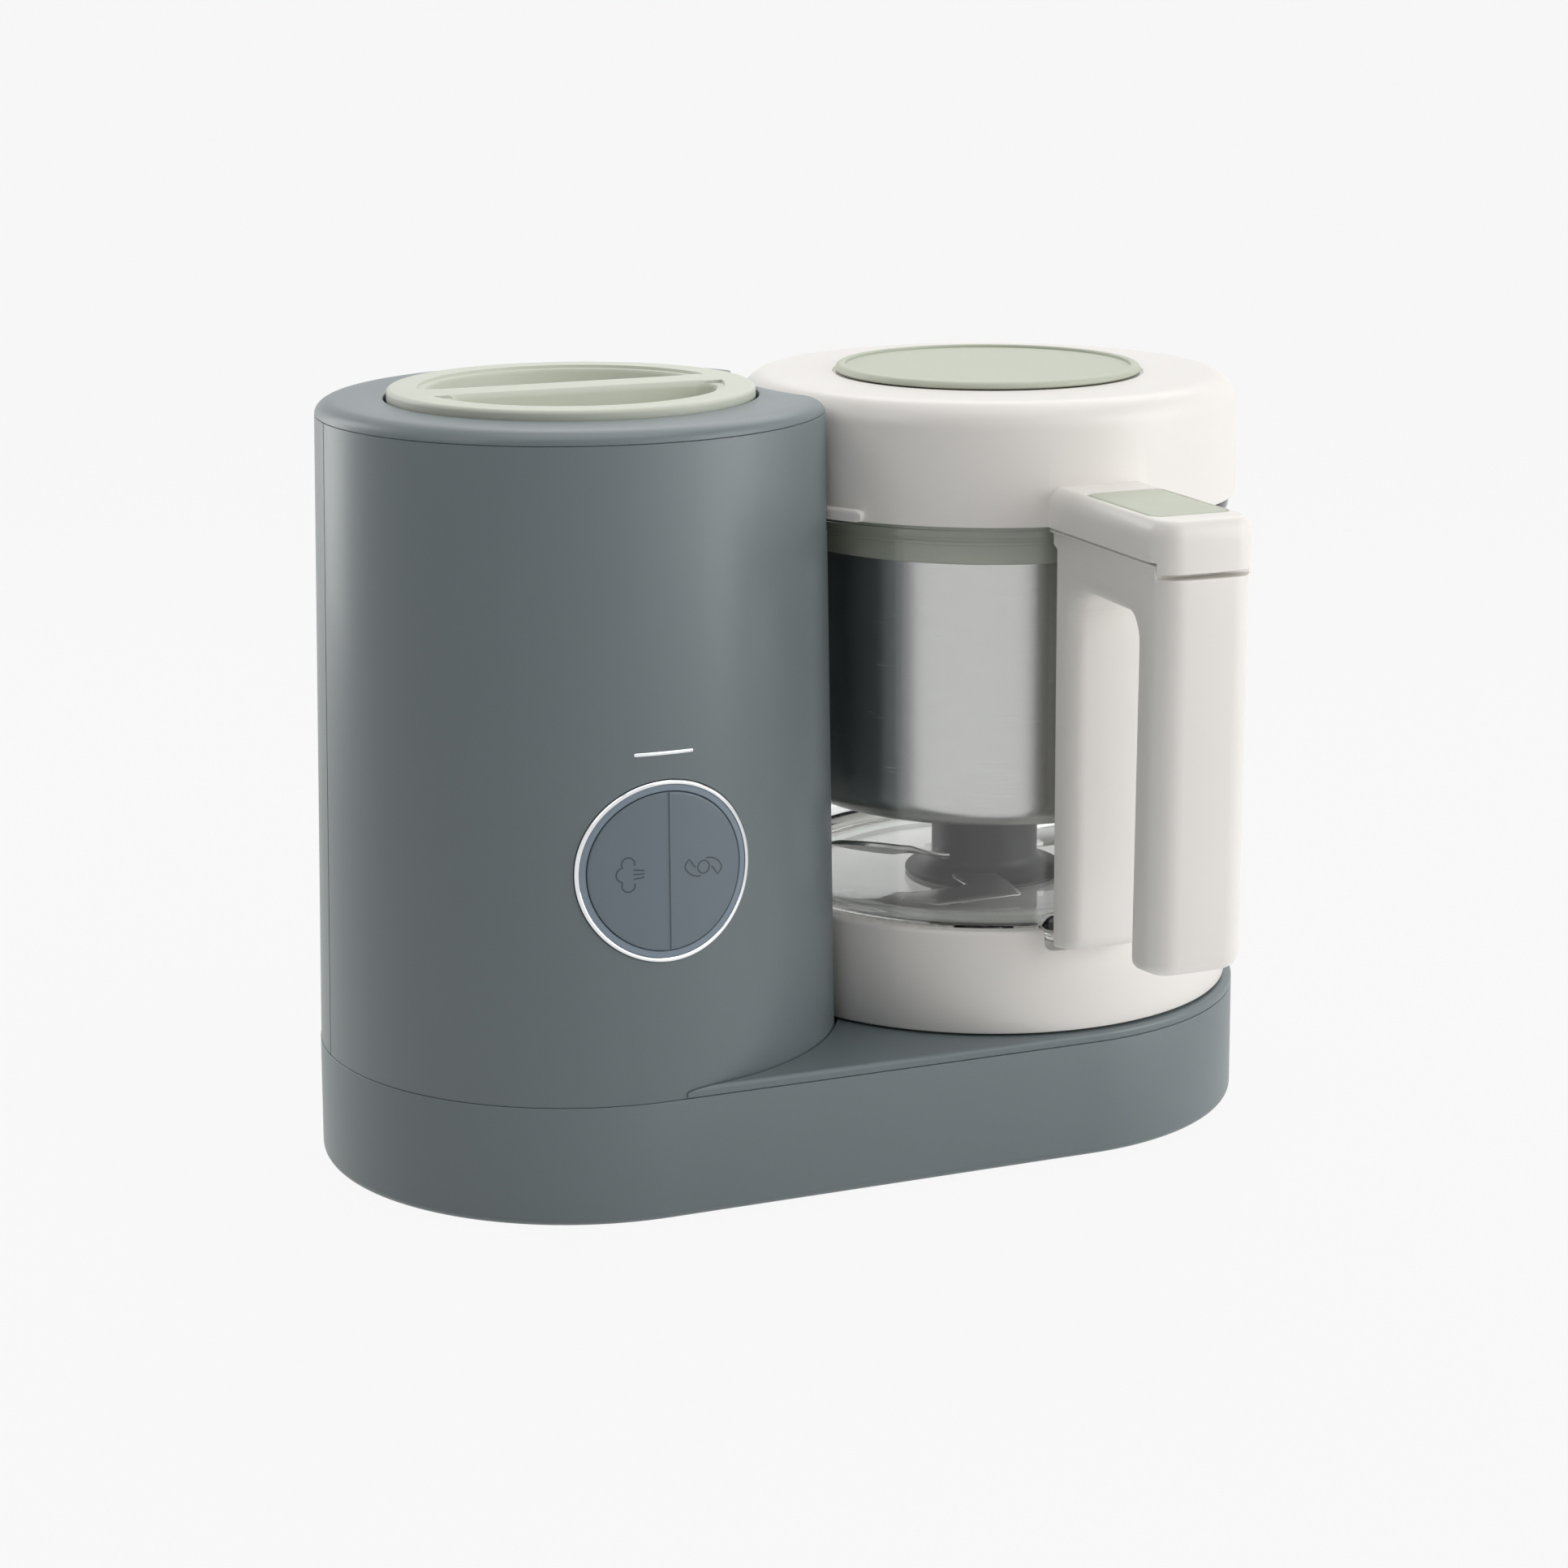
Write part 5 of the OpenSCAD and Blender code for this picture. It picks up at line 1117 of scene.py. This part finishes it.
def pale_backdrop(tree, lit, output):
    """Shows the pale colour, almost pure, to the camera, in reflections and through glass, and
    lights the object with its own shader otherwise."""
    seen_by = put(tree, "LightPath").outputs
    either = calc(tree, "MAXIMUM", seen_by["Is Camera Ray"], seen_by["Is Transmission Ray"])
    any_of = calc(tree, "MAXIMUM", either, seen_by["Is Glossy Ray"])
    shown = put(tree, "Emission", {"Color": PALE})
    mix = put(tree, "MixShader", {0: calc(tree, "MULTIPLY", any_of, SEEN), 1: lit.outputs[0],
                                  2: shown.outputs[0]})
    wire(tree, tree.nodes[output], {"Surface": mix.outputs[0]})


ground, tree, matt = new_material("pale_floor")
wire(tree, matt, {"Base Color": PALE, "Roughness": 0.9})
pale_backdrop(tree, matt, "Material Output")
floor_mesh.materials.append(ground)

world = bpy.data.worlds.new("studio")
world.use_nodes = True
scene.world = world
air = world.node_tree.nodes["Background"]
wire(world.node_tree, air, {"Color": (0.9, 0.93, 1.0, 1), "Strength": 0.03})
pale_backdrop(world.node_tree, air, "World Output")


def panel(name, bearing, elevation, distance, width, height, watts):
    """A soft rectangular light aimed at the object's middle. Its bearing is the angle to the
    right of the camera's line of sight, seen from the object."""
    data = bpy.data.lights.new(name, "AREA")
    data.shape, data.size, data.size_y, data.energy = "RECTANGLE", width, height, watts
    lamp = bpy.data.objects.new(name, data)
    turn, rise = math.radians(CAMERA_YAW + bearing), math.radians(elevation)
    away = Vector((math.sin(turn) * math.cos(rise), -math.cos(turn) * math.cos(rise), math.sin(rise)))
    aim = away.to_track_quat("Z", "Y").to_matrix().to_4x4()
    lamp.matrix_world = Matrix.Translation(MIDDLE + away * distance) @ aim
    scene.collection.objects.link(lamp)


MIDDLE = Vector((0, 0, 0.14))
CAMERA_YAW = -22.476
panel("key_front", 46, 20, 1.5, 0.8, 1.2, 3.4)
panel("key_side", 74, 12, 1.5, 0.8, 1.2, 10.7)
panel("key_far", 95, 20, 1.5, 0.8, 1.2, 2.0)
panel("top_front", 10, 84, 1.36, 1.2, 1.0, 7.2)
panel("top_back", 165, 50, 1.45, 1.2, 0.8, 6.4)
panel("fill_left", -55, 40, 1.4, 0.5, 0.8, 2.6)
panel("rim_back", -122, 15, 1.4, 0.5, 1.2, 7.0)

CAMERA_AT = (-0.4595, -1.07355, 0.4214)
CAMERA_PITCH, CAMERA_ROLL = -9.955, -0.192
CAMERA_FOCAL, CAMERA_SHIFT = 81.572, -0.16606


def look(yaw, pitch, roll):
    """Rotation whose -Z axis points along yaw (from +Y towards -X) and pitch (above the horizon)."""
    tilt = Matrix.Rotation(math.radians(90 + pitch), 4, "X")
    return Matrix.Rotation(math.radians(yaw), 4, "Z") @ tilt @ Matrix.Rotation(math.radians(roll), 4, "Z")


camera_data = bpy.data.cameras.new("camera")
camera_data.lens = CAMERA_FOCAL
camera_data.sensor_width = 36
camera_data.shift_y = CAMERA_SHIFT
camera = bpy.data.objects.new("camera", camera_data)
camera.matrix_world = Matrix.Translation(CAMERA_AT) @ look(CAMERA_YAW, CAMERA_PITCH, CAMERA_ROLL)
scene.collection.objects.link(camera)
scene.camera = camera
scene.view_settings.view_transform = "Standard"
